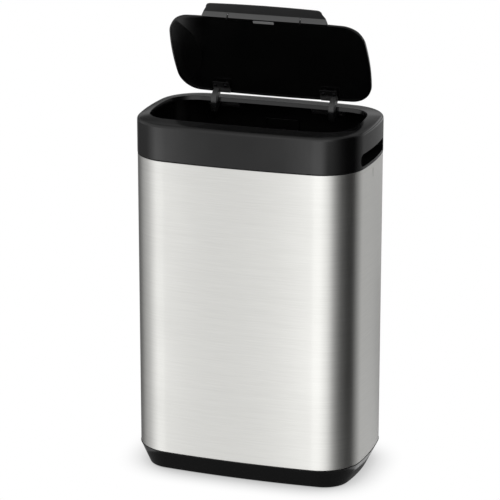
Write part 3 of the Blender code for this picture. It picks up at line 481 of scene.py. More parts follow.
# Steel sleeve: one sheet of stainless steel, rolled into the oblong and welded down the middle of
# the back. It is brushed level all round. A catch slot is cut in each side under the collar.
SHEET = 0.0010
SHEET_EDGE = 0.0003
FLANGE_WIDTH = 0.0145
FLANGE_BEND = 0.0008
SLOT_HEIGHT = 0.0150
SLOT_WIDTH = 0.0014
SLOT_DROP = 0.0151
SLOT_FORWARD = -0.0100
SEAM_WIDTH = 0.0004
SEAM_DEPTH = 0.0002
OVERRUN = 0.0100
FINE_STREAKS = (16.0, 1500.0, 3.0)
BROAD_STREAKS = (5.0, 260.0, 4.0)
FINE_SHARE = 0.75
STREAK_SPAN = (0.25, 0.75)
STREAK_BUMP = (0.10, 0.0001)
STREAK_ROUGHNESS = 0.10
STEEL_DARK = (0.63, 0.628, 0.605)
STEEL_LIGHT = (0.72, 0.718, 0.695)
STEEL_ROUGHNESS = (0.25, 0.29)
HANDLED_SCALE = 7.0
BRUSHED_STRETCH = 0.93


def brushed_steel(name):
    """Stainless steel with a level brushed grain, and slightly duller where it has been handled."""
    material, tree, shader, place = new_finish(name)

    def streaks(along, upright, detail):
        mapping = tree.nodes.new("ShaderNodeMapping")
        mapping.inputs["Scale"].default_value = (along, along, upright)
        link(tree, place, mapping.inputs["Vector"])
        return noise(tree, mapping.outputs[0], 1.0, detail, 0.65)

    broad = arithmetic(tree, "MULTIPLY", streaks(*BROAD_STREAKS), 1.0 - FINE_SHARE)
    grain = arithmetic(tree, "MULTIPLY_ADD", streaks(*FINE_STREAKS), FINE_SHARE, broad)
    share = spread(tree, grain, *STREAK_SPAN, 0.0, 1.0)
    link(tree, tint(tree, share, STEEL_DARK, STEEL_LIGHT), shader["Base Color"])
    shader["Metallic"].default_value = 1.0
    handled = spread(tree, noise(tree, place, HANDLED_SCALE, 3.0), *NOISE_SPAN, *STEEL_ROUGHNESS)
    link(tree, arithmetic(tree, "MULTIPLY_ADD", grain, STREAK_ROUGHNESS, handled), shader["Roughness"])
    shader["Anisotropic"].default_value = BRUSHED_STRETCH
    upright = tree.nodes.new("ShaderNodeCombineXYZ")
    upright.inputs["Z"].default_value = 1.0
    link(tree, upright.outputs[0], shader["Tangent"])
    link(tree, dent(tree, grain, *STREAK_BUMP), shader["Normal"])
    return material


steel = brushed_steel("brushed_stainless")
sleeve, sleeve_rings = shell([(body_line, grow, height) for grow, height in (
    (0.0, sleeve_low.z), (0.0, sleeve_high.z), (-SHEET, sleeve_high.z), (-SHEET, sleeve_low.z + SHEET),
    (-FLANGE_WIDTH, sleeve_low.z + SHEET), (-FLANGE_WIDTH, sleeve_low.z))], True)
ease(sleeve, sleeve_rings[0], FLANGE_BEND)
ease(sleeve, sleeve_rings[1] + sleeve_rings[2], SHEET_EDGE, 2)
slot_middle = sleeve_high.z - SLOT_DROP
carve(sleeve, block(
    (sleeve_low.x - OVERRUN, SLOT_FORWARD - SLOT_WIDTH / 2, slot_middle - SLOT_HEIGHT / 2),
    (sleeve_high.x + OVERRUN, SLOT_FORWARD + SLOT_WIDTH / 2, slot_middle + SLOT_HEIGHT / 2)))
carve(sleeve, block((-SEAM_WIDTH / 2, sleeve_high.y - SEAM_DEPTH, sleeve_low.z - OVERRUN),
                    (SEAM_WIDTH / 2, sleeve_high.y + OVERRUN, sleeve_high.z + OVERRUN)))
for node in BASE_SCREWS:
    low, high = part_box(node)
    carve(sleeve, post((low + high) / 2, BASE_SHANK + PLAY, low.z, high.z))
dress(sleeve, "steel_sleeve", "body", ["body_sleeve"], steel)

# Foot pads: four discs of soft black rubber, pressed into recesses under the base. They stand a
# little below it, so that the bin doesn't slide.
PAD_EDGE = 0.0006


def lathe(start, steps, turns=40):
    """Turns a chain of (radius, height) points about the Z axis."""
    shape = bmesh.new()
    tip = bmesh.ops.create_vert(shape, co=(start[0], 0.0, start[1]))["vert"]
    for radius, height in steps:
        tip = bmesh.ops.extrude_vert_indiv(shape, verts=tip)["verts"]
        tip[0].co = (radius, 0.0, height)
    bmesh.ops.spin(shape, geom=shape.verts[:] + shape.edges[:], cent=(0, 0, 0), axis=(0, 0, 1),
                   angle=2 * math.pi, steps=turns, use_merge=True, use_duplicate=False)
    bmesh.ops.remove_doubles(shape, verts=shape.verts[:], dist=SHUT)
    return shape


rubber = moulded_black("foot_rubber", (0.010, 0.010, 0.010), (0.022, 0.022, 0.022), 0.62, 0.78, 0.5)
for corner in CORNERS:
    low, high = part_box("foot_pad_" + corner)
    radius = (high.x - low.x) / 2
    pad = lathe((0.0, low.z), (
        (radius - PAD_EDGE, low.z), (radius, low.z + PAD_EDGE), (radius, high.z), (0.0, high.z)))
    move(pad, (low.x + high.x) / 2, (low.y + high.y) / 2, 0.0)
    dress(pad, "rubber_foot_" + corner, "body", ["foot_pad_" + corner], rubber)

# Screws: zinc plated pan heads with a cross recess. Six hold the sleeve down, four the brackets and
# four the lid's feet.
CROSS_SPAN_SHARE = 0.55
CROSS_WALL_SHARE = 0.16
CROSS_DEPTH_SHARE = 0.6
HEAD_DOME_SHARE = 0.72
BASE_HEAD = 0.0034
BASE_HEAD_HEIGHT = 0.0018
CLOUD_SCALE = 420.0
PLATING_ROUGHNESS = (0.22, 0.38)
PLATING_SCALE = 2600.0
PLATING_BUMP = (0.12, 0.00003)


def plated_steel(name, dark, light):
    """Plated steel, with soft cloudy changes in its dull shine."""
    material, tree, shader, place = new_finish(name)
    clouds = noise(tree, place, CLOUD_SCALE, 3.0)
    link(tree, tint(tree, clouds, dark, light), shader["Base Color"])
    link(tree, spread(tree, clouds, *NOISE_SPAN, *PLATING_ROUGHNESS), shader["Roughness"])
    link(tree, dent(tree, noise(tree, place, PLATING_SCALE), *PLATING_BUMP), shader["Normal"])
    shader["Metallic"].default_value = 1.0
    return material


def swing(shape, angle, axis):
    """Turns a whole shape about an axis through the origin."""
    bmesh.ops.rotate(shape, verts=shape.verts[:], matrix=Matrix.Rotation(angle, 3, axis))


def pan_screw(head, seat, shank, length):
    """A screw that points down from its seat at height zero."""
    shape = lathe((0.0, seat), (
        (head * HEAD_DOME_SHARE, seat), (head, seat / 3), (head, 0.0), (shank, 0.0),
        (shank, shank - length), (shank / 2, -length), (0.0, -length)), 32)
    half_span = head * CROSS_SPAN_SHARE
    half_wall = head * CROSS_WALL_SHARE
    for angle in (0.0, math.pi / 2):
        cutter = block((-half_span, -half_wall, seat * (1 - CROSS_DEPTH_SHARE)),
                       (half_span, half_wall, 2 * seat))
        swing(cutter, angle, "Z")
        carve(shape, cutter)
    return shape


zinc = plated_steel("zinc_plate", (0.44, 0.45, 0.47), (0.62, 0.63, 0.65))
black_zinc = plated_steel("black_zinc_plate", (0.010, 0.010, 0.011), (0.020, 0.020, 0.021))
for number, node in enumerate(BASE_SCREWS, 1):
    low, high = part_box(node)
    seat = high.z - BASE_HEAD_HEIGHT
    screw = pan_screw(BASE_HEAD, BASE_HEAD_HEIGHT, BASE_SHANK, seat - low.z)
    move(screw, (low.x + high.x) / 2, (low.y + high.y) / 2, seat)
    dress(screw, f"flange_screw_{number}", "body", [node], zinc)

# Rim frame: a black plastic ring that snaps into the top of the sleeve. The bag's edge folds over
# it, and a tab at the back keeps the bag in place.
frame_low, frame_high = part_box("rim_frame")
FRAME_FLANGE = 0.0012
FRAME_WALL = 0.0020
FRAME_CLEARANCE = 0.0004
TAB_WIDTH = 0.0560
TAB_WALL = 0.0020
TAB_STAND = 0.0045
TAB_ROOT = 0.0120
TAB_EDGE = 0.0006
FRAME_EDGE = 0.0003
FRAME_SHINE = 0.2
FRAME_SEAT_GAP = 0.0003
frame_seat = sleeve_high.z + FRAME_SEAT_GAP
skirt_out = -SHEET - FRAME_CLEARANCE
skirt_in = skirt_out - FRAME_WALL


def edges_over(shape, degrees=60):
    """The edges where two faces turn by more than an angle."""
    limit = math.radians(degrees)
    return [edge for edge in shape.edges if edge.is_manifold and edge.calc_face_angle(0.0) > limit]


frame_black = moulded_black(
    "frame_black", (0.0010, 0.0010, 0.0011), (0.0022, 0.0022, 0.0023), 0.26, 0.34, 0.3)
frame_black.node_tree.nodes["Principled BSDF"].inputs["Specular IOR Level"].default_value = FRAME_SHINE
rim_top = frame_seat + FRAME_FLANGE
rim, rim_rings = shell([(body_line, grow, height) for grow, height in (
    (0.0, frame_seat), (0.0, rim_top), (skirt_in, rim_top), (skirt_in, frame_low.z),
    (skirt_out, frame_low.z), (skirt_out, frame_seat))], True)
ease(rim, rim_rings[1] + rim_rings[2] + rim_rings[3] + rim_rings[4], FRAME_EDGE, 2)
tab_front = body_line.half_depth + skirt_in - TAB_STAND
tab_low = rim_top - TAB_ROOT
tab = block((-TAB_WIDTH / 2, tab_front, tab_low), (TAB_WIDTH / 2, tab_front + TAB_WALL, frame_high.z))
ease(tab, edges_over(tab), TAB_EDGE, 2)
half_foot = TAB_WIDTH / 2 - TAB_EDGE
foot = block((-half_foot, tab_front + TAB_WALL / 2, tab_low + TAB_EDGE),
             (half_foot, body_line.half_depth + skirt_in + FRAME_WALL / 2, frame_seat))
carve(tab, foot, "UNION")
carve(rim, tab, "UNION")
dress(rim, "bag_rim_frame", "body", ["rim_frame"], frame_black)

# Collar: one black moulding that lifts off. Its deck slopes up to the opening, whose lip turns
# down inside. A finger recess is cut in each side, with a cup clipped in behind it.
collar_low, collar_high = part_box("collar")
COLLAR_WALL = 0.0025
SHOULDER_DROP = 0.0052
DECK_THICKNESS = 0.0022
SHOULDER_ROUND = 0.0042
UNDER_ROUND = 0.0035
CREST_WIDTH = 0.0035
CREST_ROUND = 0.0010
LIP_DEPTH = 0.0070
LIP_WALL = 0.0024
LIP_DRAFT = 0.0013
DECK_SWELL = 0.0005
LEDGE_WIDTH = 0.0026
LEDGE_THICKNESS = 0.0013
COLLAR_FOOT_EDGE = 0.0005
DECK_BOSS_REACH = 0.0010
BOSS_SUNK = 0.0012
SMALL_SHANK = 0.0013
OPENING_HALF_WIDTH = 0.1735
OPENING_HALF_DEPTH = 0.0841
OPENING_FRONT_BOW = 0.0050
OPENING_SIDE_BOW = 0.0120
OPENING_CORNER = 0.0450
OPENING_MIDDLE = -0.0100

proud = collar_high.x - body_line.half_width
shoulder = collar_high.z - SHOULDER_DROP
opening_line = Oblong(OPENING_HALF_WIDTH, OPENING_HALF_DEPTH, OPENING_FRONT_BOW, OPENING_SIDE_BOW,
                      OPENING_CORNER, OPENING_MIDDLE)
deck_line = Oblong((body_line.half_width + proud + OPENING_HALF_WIDTH + CREST_WIDTH) / 2,
                   (body_line.half_depth + proud + OPENING_HALF_DEPTH + CREST_WIDTH) / 2,
                   (BODY_FRONT_BOW + OPENING_FRONT_BOW) / 2, (BODY_SIDE_BOW + OPENING_SIDE_BOW) / 2,
                   (BODY_CORNER + OPENING_CORNER + proud + CREST_WIDTH) / 2, OPENING_MIDDLE / 2)
ledge = collar_low.z
inside = proud - COLLAR_WALL
crest = collar_high.z
collar_black = moulded_black(
    "collar_black", (0.0010, 0.0010, 0.0011), (0.0026, 0.0026, 0.0027), 0.13, 0.18, 0.16)
collar, collar_rings = shell((
    (body_line, proud, ledge), (body_line, proud, shoulder),
    (deck_line, 0.0, (shoulder + crest) / 2 + DECK_SWELL),
    (opening_line, CREST_WIDTH, crest - CREST_ROUND / 2), (opening_line, CREST_ROUND, crest),
    (opening_line, 0.0, crest - CREST_ROUND), (opening_line, -LIP_DRAFT, crest - LIP_DEPTH),
    (opening_line, LIP_WALL - LIP_DRAFT, crest - LIP_DEPTH),
    (opening_line, LIP_WALL, crest - DECK_THICKNESS - CREST_ROUND),
    (body_line, inside, shoulder - DECK_THICKNESS), (body_line, inside, ledge + LEDGE_THICKNESS),
    (body_line, inside - LEDGE_WIDTH, ledge + LEDGE_THICKNESS),
    (body_line, inside - LEDGE_WIDTH, ledge)), True)
ease(collar, collar_rings[1], SHOULDER_ROUND, 6)
ease(collar, collar_rings[9], UNDER_ROUND, 4)
ease(collar, collar_rings[0] + collar_rings[6] + collar_rings[7], COLLAR_FOOT_EDGE, 2)

# Finger recesses: a long slot in each side of the collar, with a rounded mouth. A thin cup of black
# plastic is clipped in behind each.
RECESS_HALF_LENGTH = 0.0630
RECESS_BOTTOM = 0.5427
RECESS_TOP = 0.5630
RECESS_CORNER = 0.0080
RECESS_BOW = 0.0003
RECESS_FLARE = 0.0012
FLARE_STEPS = 5
FLARE_START = math.radians(14)
CUP_DEPTH = 0.0230
CUP_WALL = 0.0012
CUP_MARGIN = 0.0014
CUP_TAPER = 0.0015
CUP_GAP = 0.0003
recess_line = Oblong(RECESS_HALF_LENGTH, (RECESS_TOP - RECESS_BOTTOM) / 2, RECESS_BOW, RECESS_BOW,
                     RECESS_CORNER, steps=(20, 8, 2))
side_radius = (body_line.half_depth ** 2 + BODY_SIDE_BOW ** 2) / (2 * BODY_SIDE_BOW) + proud


def bend_to_side(shape, sign):
    """Stands a shape drawn flat on the collar's side, outward along Z, and bends it to the side's curve."""
    stand = Matrix(((0, 0, sign), (1, 0, 0), (0, 1, 0)))
    bmesh.ops.rotate(shape, verts=shape.verts[:], matrix=stand)
    bmesh.ops.translate(shape, verts=shape.verts[:], vec=(sign * (body_line.half_width + proud), 0.0,
                                                          (RECESS_TOP + RECESS_BOTTOM) / 2))
    for vert in shape.verts:
        vert.co.x -= sign * (side_radius - math.sqrt(side_radius ** 2 - vert.co.y ** 2))
    bmesh.ops.recalc_face_normals(shape, faces=shape.faces[:])


flares = []
for step in range(FLARE_STEPS + 1):
    turn = FLARE_START + (math.pi / 2 - FLARE_START) * step / FLARE_STEPS
    flares.append((RECESS_FLARE * (1 - math.sin(turn)), -COLLAR_WALL * (1 - math.cos(turn))))
flares = [(flares[0][0], OVERRUN)] + flares + [(0.0, -COLLAR_WALL - OVERRUN)]
mouth = -COLLAR_WALL - CUP_GAP
cup_walls = ((CUP_MARGIN - CUP_TAPER, mouth - CUP_DEPTH), (CUP_MARGIN, mouth), (CUP_MARGIN - CUP_WALL, mouth),
             (CUP_MARGIN - CUP_TAPER - CUP_WALL, mouth - CUP_DEPTH + CUP_WALL))
for sign, side in ((-1, "left"), (1, "right")):
    cutter = shell([(recess_line, *flare) for flare in flares])[0]
    bend_to_side(cutter, sign)
    carve(collar, cutter)
    cup = shell([(recess_line, *wall) for wall in cup_walls])[0]
    bend_to_side(cup, sign)
    dress(cup, "finger_cup_" + side, "collar", ["grip_cup_" + side], frame_black)

# Lid rest and screw bosses: the collar carries a small ledge inside its front, which the lid's
# bumper meets, and four bosses under the rear deck for the brackets' screws.
REST_HALF_WIDTH = 0.0200
REST_FRONT = -0.0953
REST_BACK = -0.0826
REST_TOP = 0.59935
REST_THICKNESS = 0.0023
REST_EDGE = 0.0005
rest = block((-REST_HALF_WIDTH, REST_FRONT, REST_TOP - REST_THICKNESS),
             (REST_HALF_WIDTH, REST_BACK, REST_TOP))
ease(rest, edges_over(rest), REST_EDGE, 2)
carve(collar, rest, "UNION")
for side in ("left", "right"):
    for end in ("inner", "outer"):
        low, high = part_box(f"bracket_screw_{side}_{end}")
        place = (low + high) / 2
        boss_low = high.z - DECK_BOSS_REACH
        carve(collar, post(place, BOSS_RADIUS, boss_low, shoulder - DECK_THICKNESS + BOSS_SUNK), "UNION")
        carve(collar, post(place, SMALL_SHANK + PLAY, low.z, high.z + PLAY))
dress(collar, "lift_off_collar", "collar", ["collar"], collar_black)

# Hinges: a pair of brackets screwed up under the rear deck, each with a steel pin. On the pins turn
# two moulded swan necks, which reach round the rear lip and end in feet screwed to the lid.
hinge = next(joint for joint in frame["joints"] if joint["name"] == "lid_hinge")
HINGE = Vector(hinge["pos_m"])
OPEN_ANGLE = math.radians(hinge["range_deg"][1])
SMALL_HEAD = 0.0030
SMALL_HEAD_HEIGHT = 0.0016
BRACKET_CHAMFER = 0.0025
BRACKET_TOP_LENGTH = 0.0190
BRACKET_FOOT_DROP = 0.0015
BRACKET_EDGE = 0.0006
PIN_RADIUS = 0.0020
PIN_HEAD_LENGTH = 0.0010
ARM_EDGE = 0.0009
# Painted highlight on the swan necks: the tone they go up to between the rear lip and the lid, and the
# heights where it fades in and out.
NECK_PAINTED_LIGHT = 0.045
PAINTED_LIGHT_TOP_FADE = (0.6165, 0.6225)
PAINTED_LIGHT_LIP_FADE = (0.5960, 0.6000)
ARM_INNER = 0.0125
ARM_OUTER = 0.0245
ARM_HUB = 0.0038
ARM_ROOT_TURN = math.radians(260)
ARM_HEEL_TURN = math.radians(279)
ARM_MIDDLE = 0.1020
ARM_HALF_WIDTH = 0.00475
ARM_SLOT_HALF = 0.0064
FOOT_INNER = 0.0780
FOOT_OUTER = 0.1080
FOOT_THICKNESS = 0.0025
FOOT_DEPTH = 0.0210
FOOT_BACK = 0.0018
FOOT_CORNER = 0.0020
FOOT_SCREWS = (0.0850, 0.1030)
FOOT_SCREW_BACK = 0.0167
FOOT_SCREW_LENGTH = 0.0050
LID_BOSS_HEIGHT = 0.0040
CLIP_PLACE = 0.0620
LID_MIDDLE = -0.0924
LID_SEAT = 0.00645
LID_HALF_DEPTH = 0.0787


def bar(near, far, start, strokes):
    """Draws a closed (y, z) outline, straight or round centres, and extrudes it along X."""
    shape = bmesh.new()
    first = bmesh.ops.create_vert(shape, co=(near, *start))["vert"]
    tip = first
    for stroke in strokes:
        if len(stroke) == 2:
            tip = bmesh.ops.extrude_vert_indiv(shape, verts=tip)["verts"]
            tip[0].co = (near, *stroke)
        else:
            y, z, angle, count = stroke
            spun = bmesh.ops.spin(shape, geom=tip, cent=(near, y, z), axis=(1, 0, 0), angle=angle,
                                  steps=count, use_merge=False, use_duplicate=False)
            tip = [item for item in spun["geom_last"] if isinstance(item, bmesh.types.BMVert)]
    bmesh.ops.contextual_create(shape, geom=first + tip)
    bmesh.ops.remove_doubles(shape, verts=shape.verts[:], dist=SHUT)
    face = bmesh.ops.contextual_create(shape, geom=shape.edges[:])["faces"]
    made = bmesh.ops.extrude_face_region(shape, geom=face)["geom"]
    bmesh.ops.translate(shape, verts=[item for item in made if isinstance(item, bmesh.types.BMVert)],
                        vec=(far - near, 0.0, 0.0))
    bmesh.ops.recalc_face_normals(shape, faces=shape.faces[:])
    return shape


def open_with_lid(shape):
    """Turns a shape drawn on the shut lid, with the hinge at the origin, to where it stands open."""
    swing(shape, -OPEN_ANGLE, "X")
    move(shape, *HINGE)


def on_circle(radius, turn):
    """A (y, z) point round the hinge axis."""
    return (radius * math.cos(turn), radius * math.sin(turn))


def pin_hole(shape, width, x, y, z):
    """Cuts the hole for a pin, along X, right through a shape."""
    bore = post((0.0, 0.0), PIN_RADIUS + PLAY, -width / 2 - OVERRUN, width / 2 + OVERRUN)
    swing(bore, math.pi / 2, "Y")
    move(bore, x, y, z)
    carve(shape, bore)


def upturned_screw(length, x, y, z):
    """One of the small screws, with its point up and its seat at a place."""
    shape = pan_screw(SMALL_HEAD, SMALL_HEAD_HEIGHT, SMALL_SHANK, length)
    swing(shape, math.pi, "X")
    move(shape, x, y, z)
    return shape


def paint_light_into(finish, share, tone):
    """Paints light into a finish: its colour goes over to a lighter tone as a share rises."""
    tree = finish.node_tree
    colour = tree.nodes["Principled BSDF"].inputs["Base Color"]
    mixed = tint(tree, share, (0.0, 0.0, 0.0), tone)
    link(tree, colour.links[0].from_socket, mixed.node.inputs[6])
    link(tree, mixed, colour)


HINGE_FINISH = ((0.0045, 0.0045, 0.0046), (0.0075, 0.0075, 0.0077), 0.24, 0.32, 0.2)
hinge_black = moulded_black("hinge_black", *HINGE_FINISH)
washer_nylon = moulded_black("washer_nylon", (0.016, 0.016, 0.015), (0.026, 0.026, 0.024), 0.42, 0.55, 0.3)
# The necks are the hinges' black with a painted highlight: a lighter band between the rear lip and the lid,
# where their faces catch the light. It fades back to black under the lip and up in the lid's shade.
neck_black_painted_light = moulded_black("neck_black_painted_light", *HINGE_FINISH)
tree = neck_black_painted_light.node_tree
parts = tree.nodes.new("ShaderNodeSeparateXYZ")
link(tree, tree.nodes.new("ShaderNodeTexCoord").outputs["Object"], parts.inputs[0])
lit_below_lid = spread(tree, parts.outputs["Z"], *PAINTED_LIGHT_TOP_FADE, 1.0, 0.0)
lit_over_lip = spread(tree, parts.outputs["Z"], *PAINTED_LIGHT_LIP_FADE, 0.0, 1.0)
paint_light_into(neck_black_painted_light, arithmetic(tree, "MULTIPLY", lit_below_lid, lit_over_lip), (NECK_PAINTED_LIGHT, NECK_PAINTED_LIGHT, NECK_PAINTED_LIGHT))
foot_top = LID_SEAT - PLAY
foot_bottom = foot_top - FOOT_THICKNESS
foot_back = LID_MIDDLE + LID_HALF_DEPTH - FOOT_BACK
foot_screw_y = LID_MIDDLE + LID_HALF_DEPTH - FOOT_SCREW_BACK
inner_tip = math.pi - math.asin(foot_bottom / ARM_INNER)
outer_tip = math.pi - math.asin(foot_bottom / ARM_OUTER)
hub_start = ARM_ROOT_TURN - math.pi / 4
for sign, side in ((-1, "left"), (1, "right")):
    low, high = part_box("hinge_bracket_" + side)
    step = low.y + BRACKET_TOP_LENGTH
    low_top = HINGE.z - BRACKET_FOOT_DROP
    bracket = bar(low.x, high.x, (low.y, high.z), (
        (low.y, low.z + BRACKET_CHAMFER), (low.y + BRACKET_CHAMFER, low.z), (high.y, low.z),
        (high.y, low_top), (step, low_top), (step, high.z)))
    ease(bracket, edges_over(bracket, 30), BRACKET_EDGE, 2)
    carve(bracket, block((sign * ARM_MIDDLE - ARM_SLOT_HALF, low.y - OVERRUN, low.z - OVERRUN),
                         (sign * ARM_MIDDLE + ARM_SLOT_HALF, step - BRACKET_CHAMFER, high.z + OVERRUN)))
    pin_hole(bracket, high.x - low.x, (low.x + high.x) / 2, HINGE.y, HINGE.z)
    for end in ("inner", "outer"):
        node = f"bracket_screw_{side}_{end}"
        screw_low, screw_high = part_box(node)
        place = ((screw_low.x + screw_high.x) / 2, (screw_low.y + screw_high.y) / 2)
        carve(bracket, post(place, SMALL_SHANK + PLAY, low.z - OVERRUN, low.z + OVERRUN, 24))
        seat = screw_low.z + SMALL_HEAD_HEIGHT
        screw = upturned_screw(screw_high.z - seat, *place, seat)
        dress(screw, f"deck_screw_{side}_{end}", "collar", [node], zinc)
    dress(bracket, "pivot_bracket_" + side, "collar", ["hinge_bracket_" + side], hinge_black)

    low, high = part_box("hinge_pin_" + side)
    head = (high.z - low.z) / 2
    length = high.x - low.x
    pin = lathe((0.0, 0.0), (
        (head, 0.0), (head, PIN_HEAD_LENGTH), (PIN_RADIUS, PIN_HEAD_LENGTH),
        (PIN_RADIUS, length - PIN_HEAD_LENGTH / 2), (PIN_RADIUS / 2, length), (0.0, length)))
    swing(pin, sign * math.pi / 2, "Y")
    move(pin, high.x if sign < 0 else low.x, HINGE.y, HINGE.z)
    dress(pin, "pivot_pin_" + side, "collar", ["hinge_pin_" + side], zinc)

    middle = sign * ARM_MIDDLE
    arm = bar(middle - ARM_HALF_WIDTH, middle + ARM_HALF_WIDTH, on_circle(ARM_INNER, inner_tip), (
        (0.0, 0.0, ARM_ROOT_TURN - inner_tip, 16), on_circle(ARM_HUB, hub_start),
        (0.0, 0.0, -3 * math.pi / 2, 16), on_circle(ARM_OUTER, ARM_HEEL_TURN),
        (0.0, 0.0, outer_tip - ARM_HEEL_TURN, 20), (-ARM_OUTER, foot_top), (-ARM_INNER - ARM_EDGE, foot_top)))
    ease(arm, edges_over(arm), ARM_EDGE)
    near, far = sorted((sign * FOOT_INNER, sign * FOOT_OUTER))
    foot = block((near, foot_back - FOOT_DEPTH, foot_bottom), (far, foot_back, foot_top))
    upright = [edge for edge in foot.edges
               if abs(edge.verts[0].co.z - edge.verts[1].co.z) > FOOT_THICKNESS / 2]
    ease(foot, upright, FOOT_CORNER, 5)
    ease(foot, edges_over(foot), BRACKET_EDGE, 2)
    carve(arm, foot, "UNION")
    pin_hole(arm, 2 * ARM_HALF_WIDTH, middle, 0.0, 0.0)
    open_with_lid(arm)
    dress(arm, "swan_neck_" + side, "lid", ["hinge_arm_" + side], neck_black_painted_light)
    for end, x in zip(("inner", "outer"), FOOT_SCREWS):
        screw = upturned_screw(FOOT_SCREW_LENGTH, sign * x, foot_screw_y, foot_bottom - PLAY)
        open_with_lid(screw)
        dress(screw, f"lid_screw_{side}_{end}", "lid", [f"arm_screw_{side}_{end}"],
              black_zinc)

# Pin clips and washers: a zinc plated clip pushes on to the end of each pin, and a nylon washer
# stands on each side of each neck. Their solids are shown as they were built.
for side in ("left", "right"):
    for node, finish in (("pin_clip_" + side, zinc), (f"friction_washer_{side}_inner", washer_nylon),
                         (f"friction_washer_{side}_outer", washer_nylon)):
        finishes = frame["nodes"][node].data.materials
        finishes.clear()
        finishes.append(finish)

# Lid: a shallow arched shell of black plastic whose ends slope down. Inside it carries four bosses
# for the screws of the swan necks' feet. It is drawn shut and then turned open.
LID_HALF_WIDTH = 0.1703
LID_FRONT_BOW = 0.0033
LID_SIDE_BOW = 0.0081
LID_CORNER = 0.0383
LID_RIM_HEIGHT = 0.0040
LID_WALL = 0.0025
LID_CROWN = 0.0050
LID_END_LENGTH = 0.0490
LID_EDGE = 0.0010
LID_BORE_DEPTH = 0.0022
LID_SHARP = 4.5
ARCH_STEPS = 40


def stood_on_end(shape):
    """Turns a bar so that its outline lies level and it runs upwards."""
    bmesh.ops.rotate(shape, verts=shape.verts[:], matrix=Matrix(((0, 1, 0), (0, 0, 1), (1, 0, 0))))


def under_arch(grow, low, lowered):
    """A solid with the lid's outline, arched on top and sloping down at both ends."""
    solid = shell([(lid_line, grow, height) for height in (low, LID_SEAT + 3 * LID_CROWN)])[0]
    reach = LID_HALF_DEPTH + OVERRUN
    outer = LID_HALF_WIDTH + OVERRUN
    radius = (LID_HALF_DEPTH ** 2 + LID_CROWN ** 2) / (2 * LID_CROWN)
    top = LID_SEAT + LID_RIM_HEIGHT + LID_CROWN - lowered
    side_turn = math.asin(reach / radius)
    edge = top - radius * (1 - math.cos(side_turn))
    carve(solid, bar(-outer, outer, (LID_MIDDLE + reach, edge), (
        (LID_MIDDLE, top - radius, 2 * side_turn, ARCH_STEPS), (LID_MIDDLE - reach, low - OVERRUN),
        (LID_MIDDLE + reach, low - OVERRUN))), "INTERSECT")
    fall = LID_CROWN / LID_END_LENGTH
    low_end = LID_SEAT + LID_RIM_HEIGHT - lowered - fall * OVERRUN
    high_end = low_end + fall * (outer - LID_END_LENGTH)
    ends = bar(-LID_MIDDLE - reach, -LID_MIDDLE + reach, (-outer, low - OVERRUN), (
        (outer, low - OVERRUN), (outer, low_end), (LID_END_LENGTH, high_end), (-LID_END_LENGTH, high_end),
        (-outer, low_end)))
    swing(ends, -math.pi / 2, "Z")
    carve(solid, ends, "INTERSECT")
    return solid


lid_black = moulded_black("lid_black", (0.0010, 0.0010, 0.0011), (0.0024, 0.0024, 0.0025), 0.16, 0.22, 0.16)
lid_line = Oblong(LID_HALF_WIDTH, LID_HALF_DEPTH, LID_FRONT_BOW, LID_SIDE_BOW, LID_CORNER, LID_MIDDLE)
lid = under_arch(0.0, LID_SEAT, 0.0)
ease(lid, [edge for edge in edges_over(lid) if min(vert.co.z for vert in edge.verts) > LID_SEAT + LID_EDGE],
     LID_EDGE)
carve(lid, under_arch(-LID_WALL, LID_SEAT - OVERRUN, LID_WALL))
for sign in (-1, 1):
    for x in FOOT_SCREWS:
        place = (sign * x, foot_screw_y)
        carve(lid, post(place, BOSS_RADIUS, LID_SEAT, LID_SEAT + LID_BOSS_HEIGHT), "UNION")
        carve(lid, post(place, SMALL_SHANK + PLAY, LID_SEAT - PLAY, LID_SEAT + LID_BORE_DEPTH))
open_with_lid(lid)
dress(lid, "arched_lid", "lid", ["lid_shell"], lid_black, LID_SHARP)

# Handle: a bent plastic lip laid over the lid's front edge. Where it rises from the edge up to its fold, its
# colour is painted lighter, a painted highlight for the light that slope catches. Two small clips through
# slots in it grip the edge and show as notches.
HANDLE_HALF_BASE = 0.1070
HANDLE_FOLD_TAPER = 0.0030
HANDLE_TIP_TAPER = 0.0080
HANDLE_REACH = 0.0228
HANDLE_FOLD = 0.0062
HANDLE_RISE = 0.0072
HANDLE_TIP_RISE = 0.0080
HANDLE_OVERLAP = 0.0127
HANDLE_WALL = 0.0022
HANDLE_CORNER = 0.0070
HANDLE_BOW = 0.0020
HANDLE_EDGE = 0.0006
# The colour of the painted highlight on the handle's rise.
RISER_PAINTED_LIGHT = (0.062, 0.062, 0.062)
CLIP_HALF_WIDTH = 0.0009
CLIP_SLOT = 0.0053
CLIP_THICKNESS = 0.0012
CLIP_JAW = 0.0025
CLIP_EDGE = 0.0002


def lid_top(y):
    """Height of the lid's arch at a place from front to back."""
    return LID_SEAT + LID_RIM_HEIGHT + LID_CROWN * (1 - ((y - LID_MIDDLE) / LID_HALF_DEPTH) ** 2)


